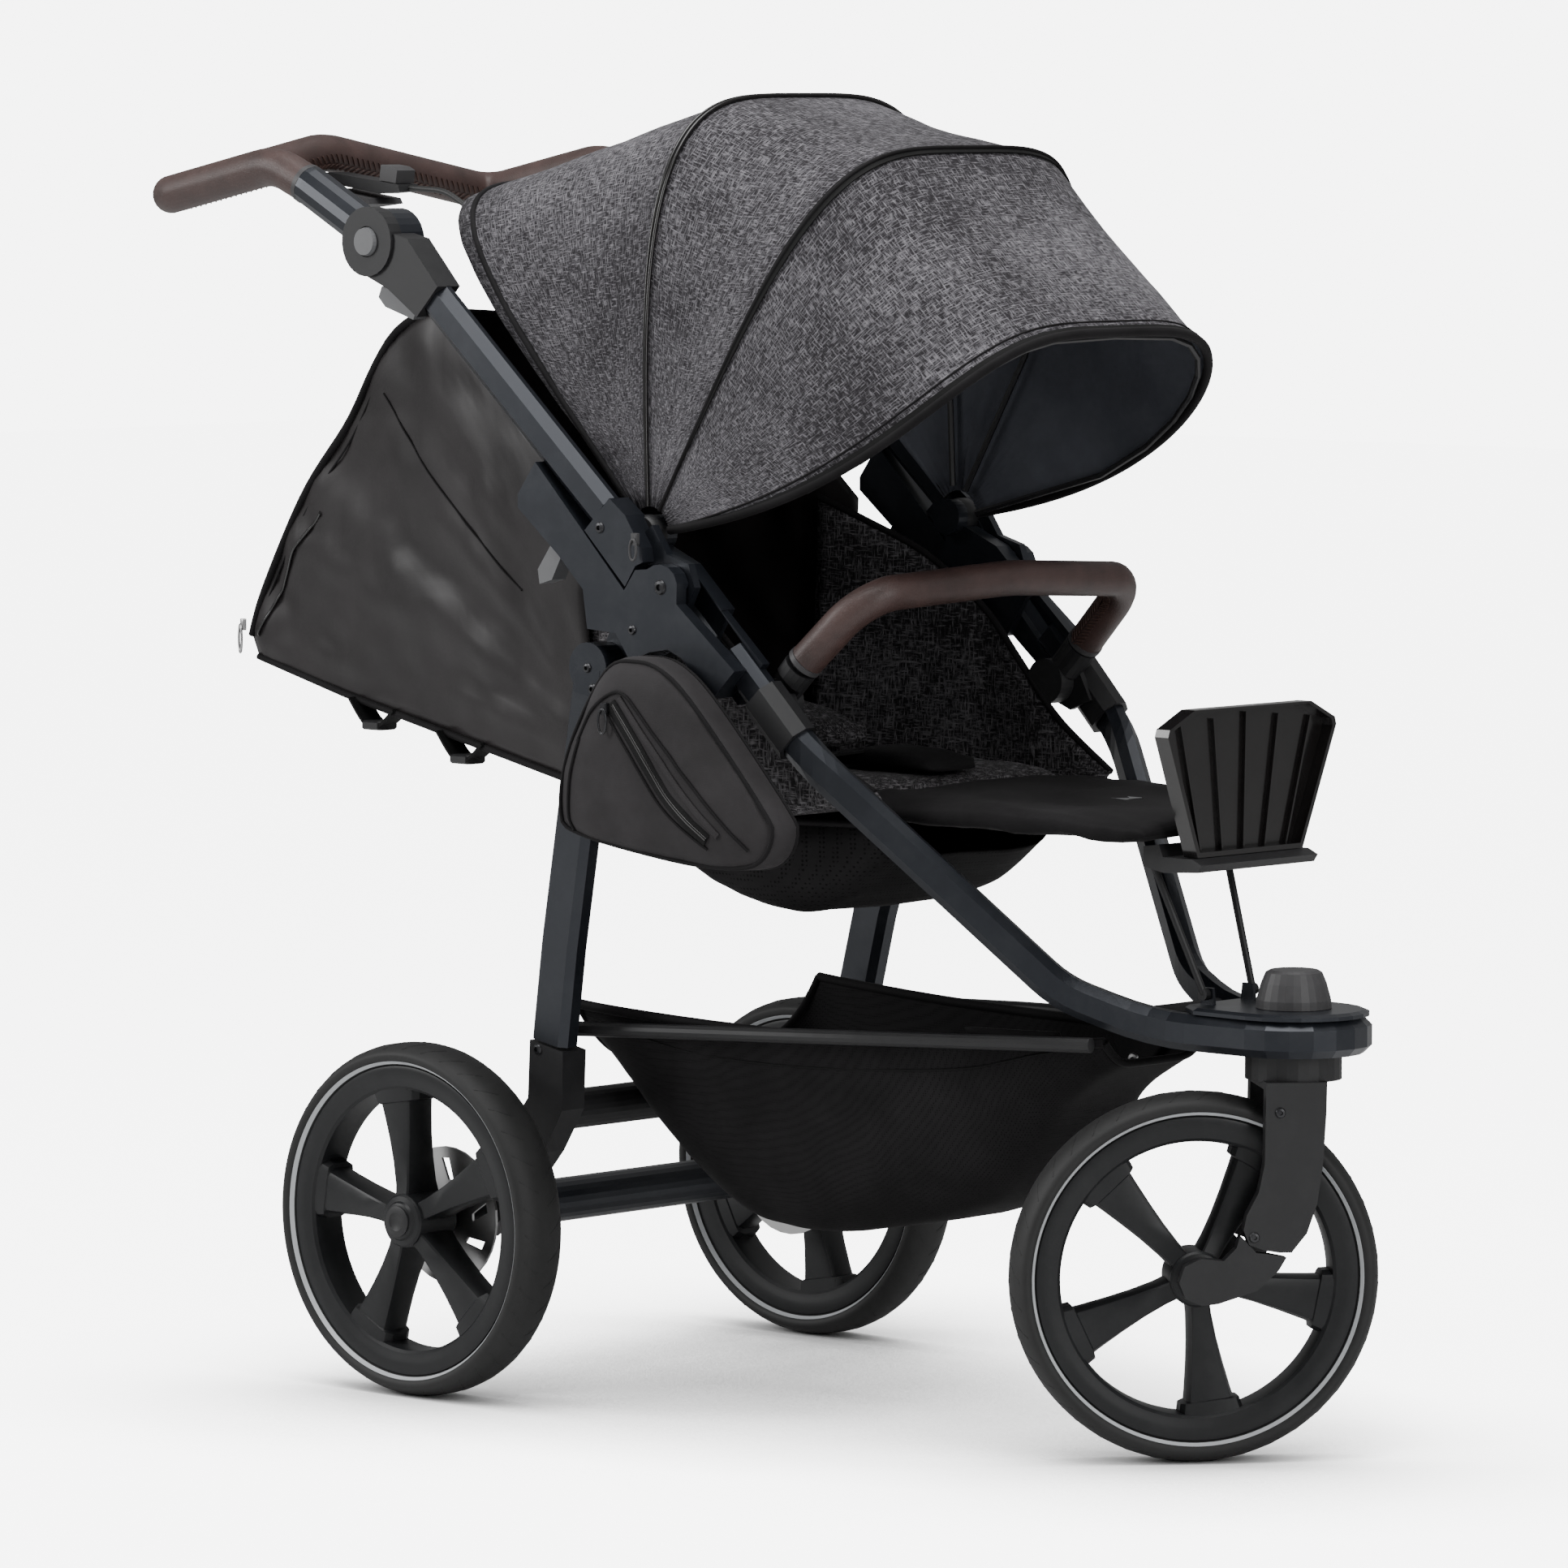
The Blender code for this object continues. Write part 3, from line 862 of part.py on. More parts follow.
for piece, centre in ((fork, steer), (swing, fork_point(SUSPENSION[0], 0, SUSPENSION[1])),
                      (bpy.data.objects["front_rim"], front_hub), (bpy.data.objects["front_tyre"],
                                                                   front_hub)):
    set_origin(piece, centre)
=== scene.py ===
import bmesh
import bpy
import json
import math
from mathutils import Matrix, Vector, noise
from mathutils.bvhtree import BVHTree
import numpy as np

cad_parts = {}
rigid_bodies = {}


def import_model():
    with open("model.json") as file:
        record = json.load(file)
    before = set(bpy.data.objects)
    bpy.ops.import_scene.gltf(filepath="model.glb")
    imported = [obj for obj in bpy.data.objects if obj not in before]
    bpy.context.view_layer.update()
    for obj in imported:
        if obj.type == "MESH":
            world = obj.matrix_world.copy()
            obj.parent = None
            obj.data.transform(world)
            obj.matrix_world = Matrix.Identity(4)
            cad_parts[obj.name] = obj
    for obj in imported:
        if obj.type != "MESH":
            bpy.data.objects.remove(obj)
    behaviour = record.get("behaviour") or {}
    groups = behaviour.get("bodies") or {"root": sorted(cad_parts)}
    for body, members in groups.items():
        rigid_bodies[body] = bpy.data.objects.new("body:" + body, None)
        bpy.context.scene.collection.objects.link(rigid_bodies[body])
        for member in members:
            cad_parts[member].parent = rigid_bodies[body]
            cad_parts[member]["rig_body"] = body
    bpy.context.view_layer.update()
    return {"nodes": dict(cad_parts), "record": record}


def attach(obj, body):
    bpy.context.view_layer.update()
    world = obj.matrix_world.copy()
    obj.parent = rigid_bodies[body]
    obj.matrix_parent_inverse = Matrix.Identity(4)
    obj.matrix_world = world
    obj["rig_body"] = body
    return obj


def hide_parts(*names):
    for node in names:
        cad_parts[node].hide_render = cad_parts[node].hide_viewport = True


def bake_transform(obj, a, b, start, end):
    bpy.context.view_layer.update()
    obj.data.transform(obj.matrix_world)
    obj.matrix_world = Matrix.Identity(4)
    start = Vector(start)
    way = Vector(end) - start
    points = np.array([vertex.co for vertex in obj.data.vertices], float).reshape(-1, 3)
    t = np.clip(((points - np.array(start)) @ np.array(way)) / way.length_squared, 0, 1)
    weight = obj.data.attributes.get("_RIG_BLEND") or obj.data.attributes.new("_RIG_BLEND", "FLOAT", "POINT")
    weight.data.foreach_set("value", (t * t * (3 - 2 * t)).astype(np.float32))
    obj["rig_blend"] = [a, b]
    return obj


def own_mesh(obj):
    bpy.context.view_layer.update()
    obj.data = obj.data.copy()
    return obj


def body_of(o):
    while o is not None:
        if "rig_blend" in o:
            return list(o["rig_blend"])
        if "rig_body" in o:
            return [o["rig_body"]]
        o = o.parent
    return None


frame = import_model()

NODES = frame["nodes"]
ORIGIN_X = 0.2095            # centre of the object, ahead of the rear axle
RIGHT, LEFT = -1, 1
SIDES = (("right", RIGHT), ("left", LEFT))
ALONG_X, ALONG_Z = Vector((1, 0, 0)), Vector((0, 0, 1))
WHEEL_R, RIM_R, AXLE_R = 0.147, 0.129, 0.0062
TRACK_HALF = 0.242
STEER_X, STEER_YAW, TRAIL = 0.735, math.radians(50), 0.079
CANOPY_PIVOT, CANOPY_HALF = (0.213, 0.722), 0.1890


def at(x, y, z):
    """A point given forward of the rear axle, to the left of the middle and above the floor."""
    return Vector((x - ORIGIN_X, y, z))


# ---- materials -------------------------------------------------------------------------------------
def new_material(name, rough=0.5, metallic=0.0, **sockets):
    mat = bpy.data.materials.new(name)
    mat.use_nodes = True
    tree = mat.node_tree
    shader = tree.nodes["Principled BSDF"]
    shader.inputs["Roughness"].default_value = rough
    shader.inputs["Metallic"].default_value = metallic
    for key, value in sockets.items():
        shader.inputs[key.replace("_", " ")].default_value = value
    return mat, tree, shader


def node(tree, kind, **values):
    made = tree.nodes.new(kind)
    for key, value in values.items():
        setattr(made, key, value)
    return made


def ramp(tree, source, low, high, start=0.3, end=0.7):
    made = node(tree, "ShaderNodeValToRGB")
    made.color_ramp.elements[0].position, made.color_ramp.elements[1].position = start, end
    made.color_ramp.elements[0].color = (*low, 1)
    made.color_ramp.elements[1].color = (*high, 1)
    tree.links.new(source, made.inputs["Fac"])
    return made.outputs["Color"]


def mapped(tree, scale, space="Object"):
    coords = node(tree, "ShaderNodeTexCoord")
    mapping = node(tree, "ShaderNodeMapping")
    mapping.inputs["Scale"].default_value = scale
    tree.links.new(coords.outputs[space], mapping.inputs["Vector"])
    return mapping.outputs["Vector"]


def noise_value(tree, vector, scale=1.0, detail=3.0, rough=0.6):
    made = node(tree, "ShaderNodeTexNoise")
    made.inputs["Scale"].default_value = scale
    made.inputs["Detail"].default_value = detail
    made.inputs["Roughness"].default_value = rough
    tree.links.new(vector, made.inputs["Vector"])
    return made.outputs["Fac"]


def math_node(tree, operation, a, b=None):
    made = node(tree, "ShaderNodeMath", operation=operation)
    for i, value in enumerate((a, b)):
        if value is None:
            continue
        if isinstance(value, (int, float)):
            made.inputs[i].default_value = value
        else:
            tree.links.new(value, made.inputs[i])
    return made.outputs[0]


def bump(tree, shader, height, strength=0.3, distance=0.0005):
    made = node(tree, "ShaderNodeBump")
    made.inputs["Strength"].default_value = strength
    made.inputs["Distance"].default_value = distance
    tree.links.new(height, made.inputs["Height"])
    tree.links.new(made.outputs["Normal"], shader.inputs["Normal"])


def rough_range(tree, shader, source, low, high):
    made = node(tree, "ShaderNodeMapRange")
    made.inputs["To Min"].default_value, made.inputs["To Max"].default_value = low, high
    tree.links.new(source, made.inputs["Value"])
    tree.links.new(made.outputs["Result"], shader.inputs["Roughness"])


def melange(name, dark, light, space="UV", threads=(900.0, 900.0), low=0.30, high=0.72):
    """Slubby two-tone linen weave: pale threads run both ways through a dark ground."""
    mat, tree, shader = new_material(name, 0.9, Sheen_Weight=0.04, Sheen_Roughness=0.5,
                                     Specular_IOR_Level=0.15)
    u, v = threads
    if space == "UV":
        warp = noise_value(tree, mapped(tree, (u, v * 0.15, 1), "UV"), 1.0, 2.0)
        weft = noise_value(tree, mapped(tree, (u * 0.15, v, 1), "UV"), 1.0, 2.0)
    else:
        warp = noise_value(tree, mapped(tree, (u, u, v * 0.15)), 1.0, 2.0)
        weft = noise_value(tree, mapped(tree, (u * 0.15, u * 0.15, v)), 1.0, 2.0)
    threads_both = math_node(tree, "MAXIMUM", warp, weft)
    broad = noise_value(tree, mapped(tree, (9, 9, 9), "Object"), 1.0, 3.0)
    level = math_node(tree, "ADD", threads_both, math_node(tree, "MULTIPLY", broad, 0.22))
    tree.links.new(ramp(tree, level, dark, light, low + 0.30, high + 0.16), shader.inputs["Base Color"])
    rough_range(tree, shader, threads_both, 0.95, 0.75)
    bump(tree, shader, threads_both, 0.5, 0.0006)
    return mat


def cloth(name, dark, light, rough=0.7, sheen=0.3, scale=1400.0, strength=0.25, spots=None, shine=0.12):
    """Plain close-woven cloth, or a perforated one where spots is the hole spacing's frequency."""
    mat, tree, shader = new_material(name, rough, Sheen_Weight=sheen * 0.1, Sheen_Roughness=0.4,
                                     Specular_IOR_Level=shine)
    broad = noise_value(tree, mapped(tree, (14, 14, 14)), 1.0, 4.0)
    waves = []
    for axis in ((scale, 0.0, scale * 0.35), (0.0, scale, scale)):
        wave = node(tree, "ShaderNodeTexNoise")
        wave.inputs["Scale"].default_value = 1.0
        wave.inputs["Detail"].default_value = 1.0
        tree.links.new(mapped(tree, axis), wave.inputs["Vector"])
        waves.append(wave.outputs["Fac"])
    weave = math_node(tree, "MULTIPLY", waves[0], waves[1])
    height = weave
    colour = ramp(tree, broad, dark, light, 0.35, 0.75)
    if spots:
        cells = node(tree, "ShaderNodeTexVoronoi")
        cells.inputs["Scale"].default_value = spots
        cells.inputs["Randomness"].default_value = 0.15
        tree.links.new(mapped(tree, (1, 1, 1)), cells.inputs["Vector"])
        hole = ramp(tree, cells.outputs["Distance"], (0.25, 0.25, 0.25), (1, 1, 1), 0.22, 0.34)
        mix = node(tree, "ShaderNodeMix", data_type="RGBA", blend_type="MULTIPLY")
        mix.inputs["Factor"].default_value = 1.0
        tree.links.new(colour, mix.inputs["A"])
        tree.links.new(hole, mix.inputs["B"])
        colour, height = mix.outputs["Result"], hole
    tree.links.new(colour, shader.inputs["Base Color"])
    rough_range(tree, shader, broad, rough - 0.08, rough + 0.08)
    bump(tree, shader, height, strength, 0.0005)
    return mat


def grained(name, colour, rough, metallic=0.0, grain=2500.0, strength=0.12, wear=0.03, **sockets):
    """Moulded plastic, paint or rubber: fine grain, faint handling marks."""
    mat, tree, shader = new_material(name, rough, metallic, **sockets)
    fine = noise_value(tree, mapped(tree, (grain, grain, grain)), 1.0, 2.0)
    marks = noise_value(tree, mapped(tree, (22, 22, 22)), 1.0, 6.0, 0.7)
    pale = tuple(min(1.0, c + wear) for c in colour)
    tree.links.new(ramp(tree, marks, colour, pale, 0.45, 0.85), shader.inputs["Base Color"])
    rough_range(tree, shader, marks, max(0.05, rough - 0.07), rough + 0.09)
    bump(tree, shader, fine, strength, 0.0003)
    return mat


def leather(name):
    mat, tree, shader = new_material(name, 0.45, Coat_Weight=0.15, Coat_Roughness=0.35,
                                     Specular_IOR_Level=0.45)
    cells = node(tree, "ShaderNodeTexVoronoi", feature="DISTANCE_TO_EDGE")
    cells.inputs["Scale"].default_value = 620
    tree.links.new(mapped(tree, (1, 1, 1)), cells.inputs["Vector"])
    broad = noise_value(tree, mapped(tree, (30, 30, 30)), 1.0, 4.0)
    tree.links.new(ramp(tree, broad, (0.040, 0.0225, 0.0195), (0.075, 0.042, 0.037)),
                   shader.inputs["Base Color"])
    crease = ramp(tree, cells.outputs["Distance"], (0, 0, 0), (1, 1, 1), 0.0, 0.12)
    rough_range(tree, shader, broad, 0.38, 0.52)
    bump(tree, shader, crease, 0.35, 0.0004)
    return mat


CANOPY = melange("canopy_melange", (0.022, 0.020, 0.023), (0.290, 0.280, 0.302), "UV", (700.0, 700.0))
SEAT = melange("seat_melange", (0.014, 0.013, 0.014), (0.260, 0.250, 0.262), "Object", (700.0, 700.0))
LINING = cloth("canopy_lining", (0.085, 0.090, 0.108), (0.125, 0.132, 0.155), 0.75, 0.2)
SATIN = cloth("hood_satin", (0.013, 0.011, 0.0115), (0.023, 0.0195, 0.0205), 0.44, 0.20, 1800.0, 0.10,
              shine=0.36)
BLACK = cloth("black_cloth", (0.008, 0.0075, 0.008), (0.017, 0.016, 0.017), 0.72, 0.25)
BAG = cloth("bag_cloth", (0.028, 0.026, 0.027), (0.046, 0.043, 0.045), 0.62, 0.3, 1600.0, 0.2)
NET = cloth("perforated_cloth", (0.012, 0.0115, 0.012), (0.022, 0.021, 0.022), 0.75, 0.15, 900.0, 0.6,
            spots=260.0)
FINE_NET = cloth("basket_net", (0.010, 0.0095, 0.010), (0.020, 0.019, 0.020), 0.78, 0.1, 900.0, 0.5,
                 spots=520.0)
WEB = cloth("webbing", (0.007, 0.007, 0.007), (0.014, 0.014, 0.014), 0.68, 0.2, 2200.0, 0.5)
FRAME = grained("frame_lacquer", (0.020, 0.023, 0.030), 0.34, 0.55, 3200.0, 0.10, 0.012, Coat_Weight=0.25,
                Coat_Roughness=0.3)
PLASTIC = grained("black_moulding", (0.010, 0.010, 0.011), 0.50, 0.0, 2600.0, 0.16, 0.008)
GLOSS = grained("gloss_moulding", (0.006, 0.005, 0.005), 0.22, 0.0, 900.0, 0.03, 0.004, Coat_Weight=0.5,
                Coat_Roughness=0.12)
GREY = grained("grey_moulding", (0.135, 0.137, 0.142), 0.46, 0.0, 2400.0, 0.12, 0.03)
DARK_GREY = grained("dark_grey_moulding", (0.045, 0.044, 0.046), 0.50, 0.0, 2400.0, 0.14, 0.02)
RIM = grained("rim_moulding", (0.009, 0.0095, 0.0105), 0.40, 0.0, 2600.0, 0.12, 0.008,
              Specular_IOR_Level=0.35)
RUBBER = grained("tyre_rubber", (0.010, 0.010, 0.010), 0.62, 0.0, 1500.0, 0.22, 0.010)
STEEL = grained("bare_steel", (0.50, 0.50, 0.50), 0.32, 1.0, 1200.0, 0.08, 0.05)
BOLT = grained("bolt_steel", (0.045, 0.045, 0.048), 0.32, 0.8, 1500.0, 0.06, 0.05)
REFLECT = grained("reflective_band", (0.58, 0.60, 0.62), 0.35, 0.0, 2600.0, 0.08, 0.05)
LEATHER = leather("brown_leather")
LACE = grained("lacing_thread", (0.075, 0.040, 0.032), 0.55, 0.0, 2400.0, 0.2, 0.02)
CABLE = grained("cable_sheath", (0.010, 0.010, 0.010), 0.5, 0.0, 2600.0, 0.1, 0.006)

BY_SLOT = {"frame_paint": FRAME, "black_plastic": PLASTIC, "gloss_plastic": GLOSS, "grey_plastic": GREY,
           "rim_plastic": RIM, "tyre_rubber": RUBBER, "disc_steel": STEEL, "brown_leather": LEATHER,
           "grey_melange": SEAT, "black_fabric": BLACK, "black_mesh": NET, "cable_sheath": CABLE}
for part in frame["record"]["subparts"]:
    piece = NODES[part["node"]]
    piece.data.materials.clear()
    piece.data.materials.append(BY_SLOT[part["material_slot"]])
for name in ("swivel_knob", "brake_slider", "brake_lever"):
    NODES[name].data.materials[0] = DARK_GREY


# ---- building helpers ------------------------------------------------------------------------------
def add_piece(name, verts, faces, mat, body=None, smooth=60, uvs=None):
    mesh = bpy.data.meshes.new(name)
    mesh.from_pydata([tuple(v) for v in verts], [], faces)
    mesh.materials.append(mat)
    if uvs:
        layer = mesh.uv_layers.new(name="UVMap")
        for loop in mesh.loops:
            layer.data[loop.index].uv = uvs[loop.vertex_index]
    made = bpy.data.objects.new(name, mesh)
    bpy.context.scene.collection.objects.link(made)
    tidy(mesh)
    mesh.shade_smooth()
    if smooth < 180:
        mesh.set_sharp_from_angle(angle=math.radians(smooth))
    if body:
        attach(made, body)
    return made


def tidy(mesh):
    bm = bmesh.new()
    bm.from_mesh(mesh)
    bmesh.ops.recalc_face_normals(bm, faces=bm.faces)
    bm.to_mesh(mesh)
    bm.free()


def grid_faces(rows, columns, wrap=False, offset=0):
    faces = []
    for i in range(rows - 1):
        for j in range(columns if wrap else columns - 1):
            k = (j + 1) % columns
            faces.append((offset + i * columns + j, offset + i * columns + k,
                          offset + (i + 1) * columns + k, offset + (i + 1) * columns + j))
    return faces


def prism_faces(rows, columns, offset=0):
    """Faces of a closed body through rows of points, with an end cap on the first and the last."""
    last = offset + (rows - 1) * columns
    return grid_faces(rows, columns, wrap=True, offset=offset) + [
        tuple(reversed(range(offset, offset + columns))), tuple(range(last, last + columns))]


def ring_about(centre, side, other, radius, count=32):
    """Points of a circle, turning from side towards other."""
    return [centre + side * (radius * math.cos(a)) + other * (radius * math.sin(a))
            for a in (2 * math.pi * k / count for k in range(count))]


def octagon(a, b):
    """Corners of a square of half side 1, cut back to a on two sides and to b on the others."""
    return ((-1, -a), (-b, -1), (b, -1), (1, -a), (1, a), (b, 1), (-b, 1), (-1, a))


def power(value, exponent):
    """Signed power, which squares off or rounds a sine."""
    return math.copysign(abs(value) ** exponent, value)


def smooth_path(points, per=8, closed=False):
    """Catmull-Rom curve through the points."""
    pts = [Vector(p) for p in points]
    n = len(pts)
    result = []
    for i in range(n if closed else n - 1):
        if closed:
            p0, p1, p2, p3 = (pts[(i + k) % n] for k in (-1, 0, 1, 2))
        else:
            p0, p1, p2, p3 = pts[max(i - 1, 0)], pts[i], pts[i + 1], pts[min(i + 2, n - 1)]
        for k in range(per):
            t = k / per
            result.append(0.5 * ((2 * p1) + (p2 - p0) * t + (2 * p0 - 5 * p1 + 4 * p2 - p3) * t * t
                                 + (3 * p1 - p0 - 3 * p2 + p3) * t ** 3))
    if not closed:
        result.append(pts[-1])
    return result


def resample(path, count):
    marks = [0.0]
    for a, b in zip(path, path[1:]):
        marks.append(marks[-1] + (b - a).length)
    result, k = [], 0
    for i in range(count):
        d = marks[-1] * i / (count - 1)
        while k < len(path) - 2 and marks[k + 1] < d:
            k += 1
        span = marks[k + 1] - marks[k]
        result.append(path[k].lerp(path[k + 1], 0 if span == 0 else (d - marks[k]) / span))
    return result


def tube(name, path, radius, mat, body, slot="black_plastic", sides=10, flat=1.0, closed=False, up=None,
         smooth=60):
    """A round or flattened tube along a path."""
    path = [Vector(p) for p in path]
    n = len(path)
    verts = []
    side = None
    for i, p in enumerate(path):
        ahead = path[(i + 1) % n] if closed else path[min(i + 1, n - 1)]
        behind = path[i - 1] if (closed or i) else path[0]
        along = (ahead - behind).normalized()
        if up is not None:
            side = along.cross(Vector(up)).normalized()
        elif side is None:
            side = along.orthogonal().normalized()
        else:
            side = (side - along * side.dot(along)).normalized()
        other = along.cross(side)
        r = radius(i / (n - 1)) if callable(radius) else radius
        for k in range(sides):
            a = 2 * math.pi * k / sides
            verts.append(p + side * (r * math.cos(a)) + other * (r * flat * math.sin(a)))
    faces = prism_faces(n, sides)
    if closed:
        end = (n - 1) * sides
        faces[-2:] = [(end + k, end + (k + 1) % sides, (k + 1) % sides, k) for k in range(sides)]
    return add_piece(name, verts, faces, mat, body, smooth)


def solid(name, rings, mat, body, smooth=40):
    """Closed body through rings of points, with capped ends."""
    verts = [p for ring in rings for p in ring]
    return add_piece(name, verts, prism_faces(len(rings), len(rings[0])), mat, body, smooth)


def joined(name, parts, mat, body, smooth=35):
    """One piece from several lists of points and faces."""
    verts, faces = [], []
    for part_verts, part_faces in parts:
        base = len(verts)
        verts += part_verts
        faces += [tuple(base + k for k in f) for f in part_faces]
    return add_piece(name, verts, faces, mat, body, smooth)


def thicken(piece, thickness, offset=0.0):
    """Gives a sheet its cloth thickness; an offset of 0 keeps it centred on the mesh."""
    made = piece.modifiers.new("thickness", "SOLIDIFY")
    made.thickness, made.offset = thickness, offset
    return made


def bevel(piece, width, segments=2, angle=35):
    made = piece.modifiers.new("bevel", "BEVEL")
    made.width, made.segments, made.limit_method = width, segments, "ANGLE"
    made.angle_limit = math.radians(angle)
    return piece


def piping(name, path, radius, mat=None, sides=8, flat=1.0, **more):
    """A round edge, seam or binding of cloth on the frame."""
    return tube(name, path, radius, mat or BLACK, "chassis", "black_fabric", sides, flat, smooth=80, **more)


def screw_head(name, centre, axis, radius, body, mat=BOLT):
    """Button-head screw with a round socket."""
    axis = Vector(axis).normalized()
    side = axis.orthogonal().normalized()
    other = axis.cross(side)
    rings = [ring_about(Vector(centre) + axis * h, side, other, radius * share, 24) for share, h in (
        (1.0, -0.0012), (1.0, 0.0004), (0.82, 0.0016), (0.45, 0.0019), (0.42, 0.0002))]
    return solid(name, rings, mat, body, 30)


def wrinkle(p, size, amount, stretch=(1, 1, 1)):
    q = Vector((p.x * stretch[0], p.y * stretch[1], p.z * stretch[2])) * size
    return amount * noise.fractal(q, 0.9, 2.0, 3)


# ---- canopy: one curved cloth over three bows, with its lining, piping and front binding -----------
# Side angle, crown angle, crown radius and squareness of the arches, from the handle to the front edge.
ARCHES = [(136.0, 135.0, 0.390, 0.36), (121.0, 121.0, 0.354, 0.42), (105.0, 106.0, 0.342, 0.46),
          (92.0, 91.0, 0.353, 0.50), (75.0, 75.0, 0.340, 0.54), (59.0, 60.5, 0.358, 0.50),
          (42.0, 48.0, 0.345, 0.50), (26.0, 36.0, 0.355, 0.50), (9.0, 26.0, 0.379, 0.50)]
PANELS = ((0, 3), (3, 5), (5, 8))
# How far the cloth has turned with the front bow, by its angle at rest.
TURNS = ((9.0, 1.0), (59.0, 0.67), (92.0, 0.47), (136.0, 0.0))


def lagrange(values, t):
    """Smooth curve through equally spaced values."""
    n = len(values) - 1
    x = t * n
    total = 0.0
    for i, value in enumerate(values):
        term = value
        for j in range(n + 1):
            if j != i:
                term *= (x - j) / (i - j)
        total += term
    return total


def arch_at(s):
    """Arch parameters at s, where 0 is the rear edge, 1 to 2 the bows and 3 the front edge."""
    k = min(int(s), 2)
    first, last = PANELS[k]
    return tuple(lagrange([ARCHES[i][c] for i in range(first, last + 1)], s - k) for c in range(4))


def canopy_point(s, u, lift=0.0, low=0.022):
    angle_side, angle_top, radius, squareness = arch_at(s)
    t = math.pi * u
    across = -power(math.cos(t), squareness)
    rise = math.sin(t) ** squareness if 0 < u < 1 else 0.0
    a = math.radians(angle_side + (angle_top - angle_side) * rise ** 1.5)
    r = low + (radius - low + lift) * rise
    y = (CANOPY_HALF + lift) * across * (1 - 0.05 * rise ** 3)
    return at(CANOPY_PIVOT[0] + r * math.cos(a), y, CANOPY_PIVOT[1] + r * math.sin(a))


def even_u(s, count):
    """Parameter values that space points evenly round the arch."""
    steps = 600
    marks, last = [0.0], canopy_point(s, 0)
    for i in range(1, steps + 1):
        p = canopy_point(s, i / steps)
        marks.append(marks[-1] + (p - last).length)
        last = p
    values, k = [], 0
    for i in range(count):
        d = marks[-1] * i / (count - 1)
        while k < steps - 1 and marks[k + 1] < d:
            k += 1
        span = marks[k + 1] - marks[k]
        values.append(min(1.0, (k + (0 if span == 0 else (d - marks[k]) / span)) / steps))
    return values, marks[-1]


def turn_weights(piece):
    """Each point turns about the canopy pivot in step with the bows on either side of it."""
    layer = piece.data.attributes["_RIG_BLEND"]
    pivot = at(CANOPY_PIVOT[0], 0, CANOPY_PIVOT[1])
    for vert in piece.data.vertices:
        a = math.degrees(math.atan2(vert.co.z - pivot.z, vert.co.x - pivot.x))
        a = min(max(a if a > -60 else 180.0, 9.0), 136.0)
        for (a0, w0), (a1, w1) in zip(TURNS, TURNS[1:]):
            if a <= a1:
                layer.data[vert.index].value = w0 + (w1 - w0) * (a - a0) / (a1 - a0)
                break
    return piece


def on_canopy(piece):
    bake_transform(piece, "chassis", "bow_front", start=at(-0.07, 0, 0.99), end=at(0.55, 0, 0.89))
    return turn_weights(piece)


ACROSS, ARCH_POINTS = 121, 141
rows = [k + i / n for k, n in enumerate((15, 12, 18)) for i in range(n)] + [3.0]
verts, uvs = [], []
run = 0.0
for i, s in enumerate(rows):
    values, length = even_u(s, ACROSS)
    if i:
        run += (canopy_point(s, 0.5) - canopy_point(rows[i - 1], 0.5)).length
    seam = min(abs(s - 1), abs(s - 2), 3 - s, 1.0)
    for j, u in enumerate(values):
        p = canopy_point(s, u)
        out = canopy_point(s, u, 0.001) - p
        out = out.normalized() if out.length > 1e-9 else Vector((0, 0, 1))
        edge = min(u, 1 - u)
        # Slack cloth ripples between the bows and gathers towards the pivots.
        slack = min(1.0, seam * 3.0)
        ripple = 0.0011 * slack * math.sin(58 * s + 3 * noise.noise(p * 6)) * max(0.0, 1 - edge * 5)
        p = p + out * (wrinkle(p, 9.0, 0.0022) * slack + ripple
                       + 0.0008 * noise.noise(p * 38) * slack)
        verts.append(p)
        uvs.append((length * (j / (ACROSS - 1) - 0.5), run))
canopy = add_piece("canopy_cloth", verts, grid_faces(len(rows), ACROSS), CANOPY,
                   uvs=uvs, smooth=180)
canopy.data.materials.append(LINING)
thicken(canopy, 0.0020, -1).material_offset = 1
on_canopy(canopy)
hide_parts("canopy")


def canopy_line(name, s, radius, mat, lift, flat=1.0, u0=0.0, u1=1.0, sides=8):
    values, _ = even_u(s, ARCH_POINTS)
    path = [canopy_point(s, u0 + (u1 - u0) * u, lift) for u in values]
    made = tube(name, path, radius, mat, None, "black_fabric", sides, flat, smooth=80)
    return on_canopy(made)


canopy_line("canopy_piping_rear", 1.0, 0.0016, BLACK, 0.0012)
canopy_line("canopy_piping_middle", 2.0, 0.0016, BLACK, 0.0012)
canopy_line("canopy_binding", 3.0, 0.0040, BLACK, -0.0005)
canopy_line("canopy_seam_front", 2.93, 0.0009, BLACK, 0.0002, sides=6)
canopy_line("canopy_seam_rear", 0.06, 0.0026, BLACK, 0.0002)

# Caps on the pivots, which the bows and the cloth gather to.
for side_name, side in SIDES:
    rings = [ring_about(at(CANOPY_PIVOT[0], side * y, CANOPY_PIVOT[1]), ALONG_X, ALONG_Z, r) for r, y in (
        (0.0145, 0.1800), (0.0155, 0.1880), (0.0155, 0.1960), (0.0135, 0.1985), (0.0060, 0.1990))]
    solid(f"canopy_cap_{side_name}", rings, PLASTIC, "chassis", smooth=40)

